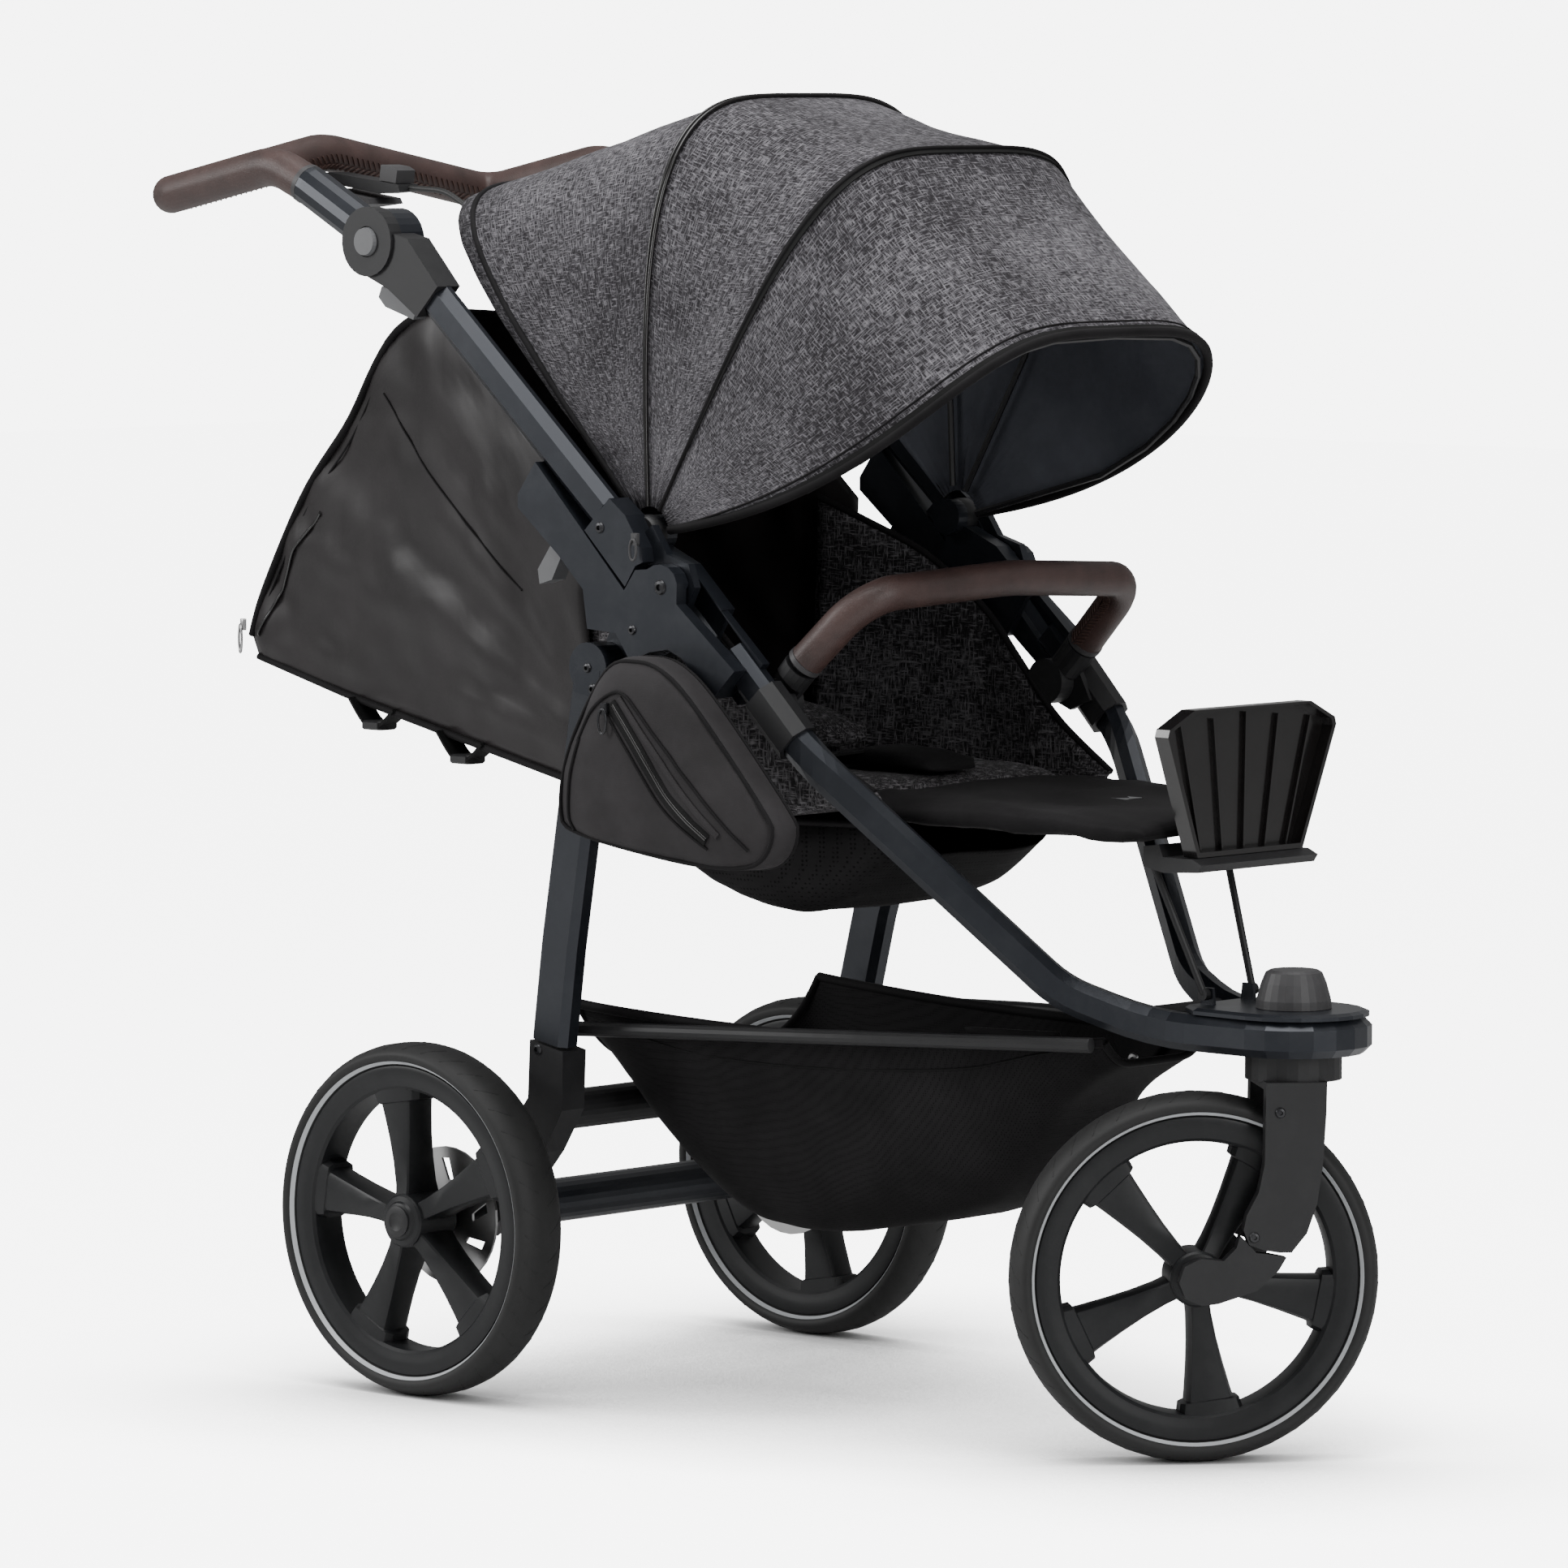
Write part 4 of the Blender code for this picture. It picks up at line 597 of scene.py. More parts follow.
# ---- rear hood: satin panels stitched to a curved back, open towards the seat ---------------------
HOOD_LOW = [(0.118, 0.506), (-0.060, 0.540), (-0.200, 0.567), (-0.318, 0.594)]
HOOD_HIGH = [(0.118, 0.735), (-0.062, 0.902), (-0.112, 0.880), (-0.145, 0.848), (-0.182, 0.800),
             (-0.245, 0.738), (-0.306, 0.652), (-0.326, 0.612)]


def hood_half(x, z):
    return 0.160 + 0.0936 * (x - 0.118) + 0.0515 * (z - 0.6)


ALONG, UPWARD, OVER = 46, 34, 30
low_line = resample([Vector((x, 0, z)) for x, z in HOOD_LOW], ALONG)
high_line = resample(smooth_path([(x, 0, z) for x, z in HOOD_HIGH[:2]], 2) + smooth_path(
    [(x, 0, z) for x, z in HOOD_HIGH[1:]], 6)[1:], ALONG)


def hood_fold(p, side):
    """Pull lines from the lower front corner, and slack folds towards the rear edge."""
    pull = math.atan2(p.z - 0.52, 0.16 - p.x)
    reach = math.hypot(p.z - 0.52, 0.16 - p.x)
    folds = 0.0060 * noise.noise(Vector((pull * 9.0, reach * 2.2, side))) * min(1, reach * 4)
    upright = 0.0050 * noise.noise(Vector((p.x * 26 + p.z * 6, p.z * 7, side + 4)))
    return folds + upright + wrinkle(p, 7.5, 0.0040, (1, 1, 1.5)) + 0.0010 * noise.noise(p * 45)


def cheek_grid(side):
    verts = []
    for i in range(ALONG):
        for j in range(UPWARD):
            t = j / (UPWARD - 1)
            q = low_line[i].lerp(high_line[i], t)
            inner = math.sin(math.pi * i / (ALONG - 1)) ** 0.6 * math.sin(math.pi * t) ** 0.6
            bulge = 0.006 * inner + hood_fold(q, side) * min(1, inner * 3)
            verts.append(at(q.x, side * (hood_half(q.x, q.z) + bulge), q.z))
    return verts


hood_parts = [(cheek_grid(side), grid_faces(ALONG, UPWARD)) for side in (RIGHT, LEFT)]
AROUND = 96
outline = resample(low_line + [p for p in reversed(high_line) if p.x < -0.0605], AROUND)
strip = []
for i, q in enumerate(outline):
    for j in range(OVER):
        v = 2 * j / (OVER - 1) - 1
        half = hood_half(q.x, q.z)
        inner = (1 - v * v) ** 0.5 if abs(v) < 1 else 0
        sag = 0.006 * inner + wrinkle(Vector((q.x, v * half, q.z)), 10, 0.0035) * min(1, inner * 2)
        ahead = (outline[min(i + 1, AROUND - 1)] - outline[max(i - 1, 0)]).normalized()
        strip.append(at(q.x, v * half, q.z) + Vector((ahead.z, 0, -ahead.x)) * sag)
hood_parts.append((strip, grid_faces(AROUND, OVER)))
hood = joined("hood_cloth", hood_parts, SATIN, "chassis", 50)
thicken(hood, 0.0016)
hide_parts("rear_hood")


def hood_edge(name, line, side, radius, out=0.0015):
    piping(name, resample([at(q.x, side * (hood_half(q.x, q.z) + out), q.z) for q in line], 90), radius)


for side_name, side in SIDES:
    hood_edge(f"hood_binding_low_{side_name}", low_line, side, 0.0030)
    hood_edge(f"hood_binding_rear_{side_name}", [p for p in high_line if p.x < -0.06], side, 0.0034)
    seam = [low_line[i].lerp(high_line[i], 0.985) + Vector((0, 0, -0.012)) for i in range(10, ALONG - 2)]
    hood_edge(f"hood_seam_{side_name}", seam, side, 0.0009, 0.0012)

# ---- wheels: round tyres with tread bars, reflective rings, five-spoke rims, hub caps --------------
TYRE = [(RIM_R - 0.0006, 0.0175), (RIM_R + 0.0010, 0.0190), (RIM_R + 0.0022, 0.0208),
        (RIM_R + 0.0045, 0.0236), (RIM_R + 0.0080, 0.0252), (RIM_R + 0.0110, 0.0240),
        (0.1425, 0.0205), (0.1447, 0.0165), (0.1462, 0.0110), (0.1469, 0.0050), (0.1469, 0.0)]
TYRE = TYRE + [(r, -y) for r, y in reversed(TYRE[:-1])]
SPOKE_STATIONS = ((0.0165, 0.0085, 0.0200), (0.0300, 0.0090, 0.0170), (0.0500, 0.0110, 0.0150),
                  (0.0700, 0.0140, 0.0140), (0.0900, 0.0175, 0.0140), (0.0975, 0.0190, 0.0142),
                  (0.0985, 0.0235, 0.0150), (0.1130, 0.0270, 0.0158))


HUB_CAP = ((0.0128, 0.0262), (0.0128, 0.0274), (0.0105, 0.0282), (0.0080, 0.0284), (0.0070, 0.0276))
HUB = ((0.0, 0.0262), (0.0125, 0.0262), (0.0150, 0.0252), (0.0165, 0.0232), (0.0205, 0.0222),
       (0.0222, 0.0205), (0.0228, 0.0150))


def spun(profile, placing, count, closed=True):
    verts = [placing @ Vector((r * math.cos(a), y, r * math.sin(a)))
             for a in (2 * math.pi * i / count for i in range(count)) for r, y in profile]
    m = len(profile)
    faces = []
    for i in range(count):
        n = (i + 1) % count
        for j in range(m if closed else m - 1):
            k = (j + 1) % m
            faces.append((i * m + j, i * m + k, n * m + k, n * m + j))
    return verts, faces


def tread_block(placing, angle, side):
    """One slanted bar of tread, a little proud of the tyre."""
    verts = []
    for k in range(7):
        t = k / 6
        y = side * (0.0035 + 0.0170 * t)
        r = 0.1466 - 0.0042 * t ** 2.2
        a = angle + 0.085 * t ** 1.3
        for dr, da in ((-0.0016, -0.0045), (0.0005, -0.0036), (0.0005, 0.0036), (-0.0016, 0.0045)):
            verts.append(placing @ Vector(((r + dr) * math.cos(a + da), y, (r + dr) * math.sin(a + da))))
    return verts, prism_faces(7, 4)


def wheel(name, placing, body, first_spoke, outer):
    tyre = joined(f"{name}_tyre_rubber", [spun(TYRE, placing, 160)], RUBBER, body, 60)
    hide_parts(f"{name}_tyre")
    blocks = [tread_block(placing, 2 * math.pi * k / 40 + (0.0 if side > 0 else 0.078), side)
              for k in range(40) for side in (1, -1)]
    joined(f"{name}_tread", blocks, RUBBER, body, 40)
    for side in (1, -1):
        ring = [(RIM_R + 0.0012, side * 0.0195), (RIM_R + 0.0026, side * 0.0216),
                (RIM_R + 0.0034, side * 0.0228),
                (RIM_R + 0.0040, side * 0.0224), (RIM_R + 0.0016, side * 0.0188)]
        joined(f"{name}_band_{'left' if side > 0 else 'right'}", [spun(ring, placing, 128)], REFLECT, body,
               60)
    rim_profile = []
    for side in (1, -1):
        half = [(RIM_R - 0.0005, 0.0188), (RIM_R - 0.0030, 0.0196), (0.1180, 0.0186), (0.1150, 0.0178),
                (0.1115, 0.0172), (0.1090, 0.0150), (0.1082, 0.0100)]
        rim_profile += [(r, side * y) for r, y in (half if side > 0 else reversed(half))]
    parts = [spun(rim_profile, placing, 144)]
    hub = HUB + tuple((r, -y) for r, y in reversed(HUB))
    parts.append(spun([(max(r, AXLE_R), y) for r, y in hub], placing, 48))
    for k in range(5):
        a = math.radians(first_spoke + 72 * k)
        along, across = Vector((math.cos(a), 0, math.sin(a))), Vector((-math.sin(a), 0, math.cos(a)))
        verts = []
        for r, w, d in SPOKE_STATIONS:
            for p, q in ((-1, -0.55), (-0.86, -0.93), (-0.70, -1), (0.70, -1), (0.86, -0.93), (1, -0.55),
                         (1, 0.55), (0.86, 0.93), (0.70, 1), (-0.70, 1), (-0.86, 0.93), (-1, 0.55)):
                verts.append(placing @ (along * r + across * (w * p) + Vector((0, d * q, 0))))
        parts.append((verts, prism_faces(len(SPOKE_STATIONS), 12)))
    rim = joined(f"{name}_rim_moulding", parts, RIM, body, 30)
    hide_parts(f"{name}_rim")
    for side in (1, -1):
        if side == -outer:
            continue
        cap = [[placing @ p for p in ring_about(Vector((0, side * h, 0)), ALONG_X, ALONG_Z, r)]
               for r, h in HUB_CAP]
        solid(f"{name}_cap_{'left' if side > 0 else 'right'}", cap, PLASTIC if outer else BOLT, body)


turn_fork = Matrix.Translation(at(STEER_X, 0, 0)) @ Matrix.Rotation(STEER_YAW, 4, "Z")
front_hub = turn_fork @ Vector((-TRAIL, 0, WHEEL_R))
wheel("front", Matrix.Translation(front_hub) @ Matrix.Rotation(STEER_YAW, 4, "Z"), "wheel_front", 277, 0)
wheel("rear_right", Matrix.Translation(at(0, -TRACK_HALF, WHEEL_R)), "wheel_rear_right", 27, RIGHT)
wheel("rear_left", Matrix.Translation(at(0, TRACK_HALF, WHEEL_R)), "wheel_rear_left", -80, LEFT)

# ---- seat: side walls along the front tube, cushion, harness, pouch, padded leg rest ---------------
TOP_LINE = [(0.085, 0.735), (0.140, 0.715), (0.200, 0.690), (0.262, 0.648), (0.305, 0.606),
            (0.352, 0.560), (0.420, 0.520)]
LOW_LINE = [(0.085, 0.512), (0.140, 0.511), (0.200, 0.502), (0.262, 0.500), (0.305, 0.502),
            (0.352, 0.506), (0.420, 0.510)]
WALL_Y = [0.1540, 0.1590, 0.1640, 0.1655, 0.1615, 0.1565, 0.1450]
for side_name, side in SIDES:
    top = resample(smooth_path([(x, y, z) for (x, z), y in zip(TOP_LINE, WALL_Y)], 8), 40)
    low = resample(smooth_path([(x, y - 0.010, z) for (x, z), y in zip(LOW_LINE, WALL_Y)], 8), 40)
    verts = []
    for a, b in zip(low, top):
        for j in range(16):
            t = j / 15
            q = a.lerp(b, t)
            inner = math.sin(math.pi * t)
            verts.append(at(q.x, side * (q.y + wrinkle(q, 16, 0.0020) * inner), q.z))
    wall = add_piece(f"seat_wall_{side_name}", verts, grid_faces(40, 16), SEAT, "chassis",
                     70)
    thicken(wall, 0.0030)
    piping(f"seat_wall_binding_{side_name}", [at(q.x, side * q.y, q.z) for q in top], 0.0030)


def pillow(name, stations, mat, body, count=28, sink=0.0, size=12.0, amount=0.002, seams=()):
    """Cushion through rounded sections along X: (x, half width, underside, top)."""
    rings = []
    path = smooth_path([(x, w, 0) for x, w, _, _ in stations], 6)
    lows = smooth_path([(x, z0, z1) for x, _, z0, z1 in stations], 6)
    for p, q in zip(path, lows):
        ring = []
        for k in range(count * 2):
            a = 2 * math.pi * k / (count * 2)
            c, s = math.cos(a), math.sin(a)
            y = p.y * power(c, 0.35)
            z = (q.y + q.z) / 2 + (q.z - q.y) / 2 * power(s, 0.75)
            if s > 0:
                z -= sink * math.exp(-(y / (p.y * 0.5)) ** 2) * (1 if q.z - q.y > 0.008 else 0)
                for seam in seams:
                    z -= 0.0022 * math.exp(-((y - seam) / 0.004) ** 2)
            point = at(p.x, y, z)
            ring.append(point + Vector((0, 0, wrinkle(point, size, amount))))
        rings.append(ring)
    return solid(name, rings, mat, body, 75)


CUSHION = [(0.150, 0.128, 0.5105, 0.5145), (0.165, 0.136, 0.5075, 0.5230), (0.230, 0.140, 0.5055, 0.5270),
           (0.300, 0.134, 0.5070, 0.5270), (0.360, 0.128, 0.5095, 0.5260), (0.382, 0.122, 0.5120, 0.5180)]
LEG_PAD = [(0.386, 0.138, 0.5000, 0.5100), (0.400, 0.1440, 0.4960, 0.5185), (0.450, 0.1410, 0.4925, 0.5200),
           (0.540, 0.1265, 0.4900, 0.5150), (0.620, 0.1075, 0.4895, 0.5110), (0.652, 0.0990, 0.4920, 0.5080),
           (0.660, 0.0940, 0.4965, 0.5020)]
cushion = pillow("seat_cushion", CUSHION, SEAT, "chassis", sink=0.003, amount=0.0022)
leg_pad = pillow("leg_pad", LEG_PAD, BLACK, "leg_support", amount=0.0042, size=17.0)
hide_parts("leg_rest")

back_dir, back_up = Vector((-0.440, 0, 0.086)).normalized(), Vector((0.086, 0, 0.440)).normalized()


def back_point(d, y, h):
    return at(0.170, y, 0.514) + back_dir * d + back_up * h


rings = []
for d, w, h0, h1 in ((0.010, 0.128, 0.017, 0.024), (0.020, 0.138, 0.011, 0.033),
                     (0.060, 0.142, 0.010, 0.037), (0.160, 0.134, 0.010, 0.038),
                     (0.280, 0.124, 0.010, 0.038), (0.400, 0.114, 0.010, 0.037),
                     (0.440, 0.110, 0.011, 0.033), (0.450, 0.100, 0.018, 0.026)):
    ring = []
    for k in range(56):
        a = 2 * math.pi * k / 56
        c, s = math.cos(a), math.sin(a)
        y = w * power(c, 0.35)
        h = (h0 + h1) / 2 + (h1 - h0) / 2 * power(s, 0.75)
        p = back_point(d, y, h)
        ring.append(p + back_up * wrinkle(p, 13, 0.0018))
    rings.append(ring)
back_pad = solid("back_pad", rings, SEAT, "back", 75)
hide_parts("backrest")


def strap(name, points, width, thick, mat, body, across=(0, 1, 0), per=8):
    """Flat webbing through the points, its width along the given direction."""
    path = smooth_path(points, per)
    across = Vector(across).normalized()
    verts = []
    for i, p in enumerate(path):
        along = (path[min(i + 1, len(path) - 1)] - path[max(i - 1, 0)]).normalized()
        side = (across - along * across.dot(along)).normalized()
        out = along.cross(side)
        for a, b in ((-1, -1), (1, -1), (1, 1), (-1, 1)):
            verts.append(p + side * (a * width / 2) + out * (b * thick / 2))
    return add_piece(name, verts, prism_faces(len(path), 4), mat, body, 40)


# Harness: shoulder straps and pads on the back, lap straps, crotch pad.
for side_name, side in SIDES:
    strap(f"shoulder_strap_{side_name}", [back_point(d, side * y, 0.0395) for d, y in (
        (0.330, 0.036), (0.240, 0.040), (0.140, 0.046), (0.060, 0.054))], 0.030, 0.0022, WEB, "back")
    strap(f"shoulder_pad_{side_name}", [back_point(d, side * y, 0.0425) for d, y in (
        (0.300, 0.037), (0.220, 0.041), (0.150, 0.045))], 0.048, 0.0070, BLACK, "back")
    strap(f"lap_strap_{side_name}", [at(0.190, side * 0.128, 0.529), at(0.225, side * 0.100, 0.532),
                                     at(0.270, side * 0.055, 0.536), at(0.300, side * 0.026, 0.541)],
          0.028, 0.0022, WEB, "chassis", across=(0.5, side * 0.5, 0))
rings = []
for x, w, z0, z1 in ((0.262, 0.020, 0.5290, 0.5340), (0.268, 0.030, 0.5275, 0.5390),
                     (0.300, 0.035, 0.5270, 0.5440), (0.340, 0.036, 0.5270, 0.5420),
                     (0.368, 0.034, 0.5265, 0.5370), (0.376, 0.026, 0.5270, 0.5310)):
    rings.append([at(x, w * power(math.cos(a), 0.4),
                     (z0 + z1) / 2 + (z1 - z0) / 2 * power(math.sin(a), 0.7))
                  for a in (2 * math.pi * k / 40 for k in range(40))])
crotch = solid("crotch_pad", rings, BLACK, "chassis", 70)
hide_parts("crotch_strap")

# ---- mesh pouch under the seat ---------------------------------------------------------------------
POUCH = [(0.140, 0.1290, 0.4780), (0.180, 0.1350, 0.4520), (0.230, 0.1350, 0.4240), (0.290, 0.1300, 0.4120),
         (0.340, 0.1180, 0.4280), (0.388, 0.1040, 0.4600)]
path = smooth_path(POUCH, 8)
verts = []
for p in path:
    for k in range(41):
        a = math.pi * k / 40
        c, s = math.cos(a), math.sin(a)
        y = p.y * power(c, 0.28)
        z = 0.4900 - (0.4900 - p.z) * s ** 0.45
        q = at(p.x, y, z)
        verts.append(q + Vector((0, 0, wrinkle(q, 15, 0.0030) * s)))
pouch = add_piece("pouch_net", verts, grid_faces(len(path), 41), NET, "chassis", 75)
thicken(pouch, 0.0014)
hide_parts("seat_pouch")
for side_name, side in SIDES:
    piping(f"pouch_binding_{side_name}", [at(p.x, side * (p.y + 0.001), 0.4895) for p in path], 0.0030)

# ---- cargo basket ----------------------------------------------------------------------------------
BASKET = [(0.092, 0.1470, 0.276), (0.135, 0.1450, 0.222), (0.200, 0.1400, 0.166), (0.250, 0.1360, 0.149),
          (0.320, 0.1300, 0.149), (0.415, 0.1140, 0.168), (0.474, 0.0960, 0.190), (0.508, 0.0870, 0.230),
          (0.538, 0.0780, 0.270), (0.592, 0.0620, 0.306)]
BASKET_TOP, BASKET_FOLDED = 0.3260, 0.12
stations = smooth_path(BASKET, 8)


def basket_point(p, t, inset=0.0):
    """Across the basket's cloth, from one top edge at t=0 under the floor to the other at t=1."""
    h = p.y - inset
    top = BASKET_TOP - 0.010 * math.sin(math.pi * min(1, max(0, (p.x - 0.09) / 0.51))) ** 0.8
    c = math.cos(math.pi * t)
    drop = (1 - abs(c) ** 2.4) ** 0.55
    y = h * math.copysign(min(1, abs(c) ** 0.30), c) * (1 - 0.20 * drop) if abs(c) > 1e-6 else 0.0
    return Vector((p.x, y, top - (top - p.z - inset) * drop))


verts = []
COLUMNS = 61
for p in stations:
    for k in range(COLUMNS):
        t = k / (COLUMNS - 1)
        q = basket_point(p, t)
        free = math.sin(math.pi * t)
        verts.append(at(q.x, q.y + math.copysign(wrinkle(q, 9, 0.0042) * min(1, 3 * free), q.y),
                        q.z + wrinkle(q + Vector((3, 0, 0)), 8, 0.0035) * free))
basket = add_piece("basket_cloth", verts, grid_faces(len(stations), COLUMNS), FINE_NET, "chassis",
                   75)
thicken(basket, 0.0018)
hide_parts("basket")
for side_name, t in (("right", 1.0), ("left", 0.0)):
    hem = [at(*basket_point(p, t)) for p in stations]
    piping(f"basket_hem_{side_name}", hem, 0.0042, sides=10)
    out = Vector((0, 0.0014 if t == 0 else -0.0014, 0))
    stitch = [at(*(basket_point(p, abs(t - 0.055)) + out)) for p in stations]
    piping(f"basket_stitch_{side_name}", stitch, 0.0009, WEB, 6)
end = [at(*basket_point(stations[0], k / 40)) for k in range(41)]
piping("basket_hem_rear", end, 0.0036, sides=10)
end = [at(*basket_point(stations[-1], k / 40)) for k in range(41)]
piping("basket_hem_front", end, 0.0034, sides=10)

# ---- side bag: padded cloth, piping, a zip with its pull, a flap and seams -------------------------
BAG_OUTLINE = [(0.222, 0.6160), (0.257, 0.6260), (0.290, 0.6180), (0.328, 0.5880), (0.400, 0.5120),
               (0.412, 0.4900), (0.396, 0.4660), (0.355, 0.4600), (0.289, 0.4640), (0.190, 0.4790),
               (0.170, 0.4960), (0.180, 0.5500)]
bag_line = resample(smooth_path([(x, 0, z) for x, z in BAG_OUTLINE], 8,
                                closed=True) + [Vector((0.222, 0, 0.616))], 97)[:-1]
bag_mid = sum(bag_line, Vector()) / len(bag_line)
rings = []
for y, k in ((0.2222, 0.0), (0.2222, 0.60), (0.2222, 0.93), (0.2240, 0.975), (0.2290, 0.995), (0.2370, 1.0),
             (0.2450, 0.995), (0.2505, 0.975), (0.2535, 0.95), (0.2575, 0.86), (0.2605, 0.70),
             (0.2625, 0.45), (0.2632, 0.20), (0.2634, 0.02)):
    ring = []
    for q in bag_line:
        p = bag_mid.lerp(q, max(k, 0.01))
        puff = wrinkle(Vector((p.x, y, p.z)), 15, 0.0032) * (1 if y > 0.24 else 0.2)
        ring.append(at(p.x, -(y + puff * 0.6), p.z))
    rings.append(ring)
bag = solid("side_bag_cloth", rings, BAG, "chassis", 70)
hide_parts("side_bag")


def bag_loop(name, y, k, radius):
    loop = [at(bag_mid.x + (q.x - bag_mid.x) * k, -y, bag_mid.z + (q.z - bag_mid.z) * k) for q in bag_line]
    piping(name, loop, radius, closed=True)


bag_loop("bag_piping_outer", 0.2525, 0.965, 0.0018)
bag_loop("bag_piping_inner", 0.2262, 0.985, 0.0018)
bag_tree = BVHTree.FromPolygons([v.co for v in bag.data.vertices],
                                [tuple(f.vertices) for f in bag.data.polygons])


def on_bag(points, lift=0.0012, per=10):
    """The points laid on the outer face of the bag."""
    path = []
    for q in smooth_path([(x, 0, z) for x, z in points], per):
        place, _, _, _ = bag_tree.ray_cast(at(q.x, -0.35, q.z), Vector((0, 1, 0)))
        path.append((place if place else at(q.x, -0.262, q.z)) - Vector((0, lift, 0)))
    return path


def bag_seam(name, points, radius, mat, lift=0.0008, flat=0.6):
    piping(name, on_bag(points, lift), radius, mat, flat=flat, up=(0, 1, 0))


bag_seam("bag_zip_tape", [(0.238, 0.5880), (0.268, 0.5560), (0.302, 0.5160), (0.345, 0.4840)], 0.0060,
         WEB, 0.0002, 0.25)
bag_seam("bag_zip_teeth", [(0.241, 0.5870), (0.271, 0.5545), (0.304, 0.5155), (0.345, 0.4850)], 0.0016,
         GLOSS, 0.0014)
bag_seam("bag_flap_edge", [(0.228, 0.5860), (0.262, 0.5480), (0.298, 0.5060), (0.345, 0.4770)], 0.0012,
         BLACK, 0.0010)
bag_seam("bag_flap_lip", [(0.247, 0.5930), (0.279, 0.5610), (0.316, 0.5230), (0.357, 0.4880)], 0.0030,
         BAG, 0.0004)
bag_seam("bag_top_seam", [(0.197, 0.5560), (0.212, 0.5800), (0.236, 0.5960), (0.252, 0.5960),
                          (0.272, 0.5800),
                          (0.318, 0.5370), (0.362, 0.4980), (0.386, 0.4780)], 0.0014, BLACK, 0.0010)
bag_seam("bag_side_seam", [(0.199, 0.5580), (0.190, 0.5300), (0.1865, 0.5000), (0.190, 0.4830)], 0.0014,
         BLACK, 0.0010)


def zip_pull(name, top, body, length=0.020, side=(0, -1, 0), down=(0, 0, -1), mat=STEEL):
    """Slider with a hanging ring puller."""
    top, side, down = Vector(top), Vector(side).normalized(), Vector(down).normalized()
    across = side.cross(down).normalized()
    rings = []
    for h, w in ((-0.0050, 0.0030), (-0.0045, 0.0036), (0.0035, 0.0036), (0.0050, 0.0024)):
        rings.append([top + down * h + across * (w * a) + side * (0.0022 * b + 0.0015)
                      for a, b in octagon(0.6, 0.7)])
    solid(f"{name}_slider", rings, mat, body, 35)
    half, lift = length * 0.5, side * 0.0042
    loop = [top + down * (half - half * math.cos(a)) + across * (length * 0.22 * math.sin(a)) + lift
            for a in (2 * math.pi * k / 24 for k in range(24))]
    tube(f"{name}_ring", loop, 0.0011, mat, body, "disc_steel", 8, closed=True, smooth=80)


zip_pull("bag_zip_pull", on_bag([(0.233, 0.584), (0.234, 0.583)], 0.001)[0], "chassis", 0.020, mat=BOLT)
zip_pull("hood_zip_pull", at(-0.321, -0.134, 0.622), "chassis", 0.024, side=(-0.5, -0.85, 0))

# ---- leather grips with laced inner seams ----------------------------------------------------------
def rounded_path(points, radii, steps=12):
    """A polyline with each inner corner turned into an arc of the given radius."""
    points = [Vector(p) for p in points]
    path = [points[0]]
    for k in range(1, len(points) - 1):
        before, here, after = points[k - 1], points[k], points[k + 1]
        u, v = (before - here).normalized(), (after - here).normalized()
        angle = u.angle(v)
        if abs(math.pi - angle) < 0.01 or radii[k - 1] <= 0:
            path.append(here)
            continue
        reach = radii[k - 1] / math.tan(angle / 2)
        centre = here + (u + v).normalized() * (radii[k - 1] / math.sin(angle / 2))
        a, b = here + u * reach - centre, here + v * reach - centre
        turn = a.angle(b)
        for s in range(steps + 1):
            t = s / steps
            path.append(centre + (a * math.sin((1 - t) * turn) + b * math.sin(t * turn)) / math.sin(turn))
    path.append(points[-1])
    return path


def mirrored(half):
    right = [at(x, -y, z) for x, y, z in half]
    left = [at(x, y, z) for x, y, z in reversed(half)]
    return right + left[1:] if abs(half[-1][1]) < 1e-9 else right + left


def length_of(path):
    return sum((b - a).length for a, b in zip(path, path[1:]))


def section(path, start, end, count):
    whole = length_of(path)
    fine = resample(path, 600)
    return resample([p for i, p in enumerate(fine) if start <= whole * i / 599 <= end], count)


HANDLE = [(-0.0980, 0.199, 0.9620), (-0.1680, 0.199, 0.9990), (-0.2130, 0.199, 1.0180),
          (-0.3540, 0.199, 0.9890), (-0.3620, 0.0, 1.0270)]
BUMPER = [(0.3360, 0.172, 0.5900), (0.3660, 0.172, 0.6210), (0.4170, 0.1640, 0.6700),
          (0.4290, 0.1380, 0.6800), (0.4360, 0.0, 0.6870)]


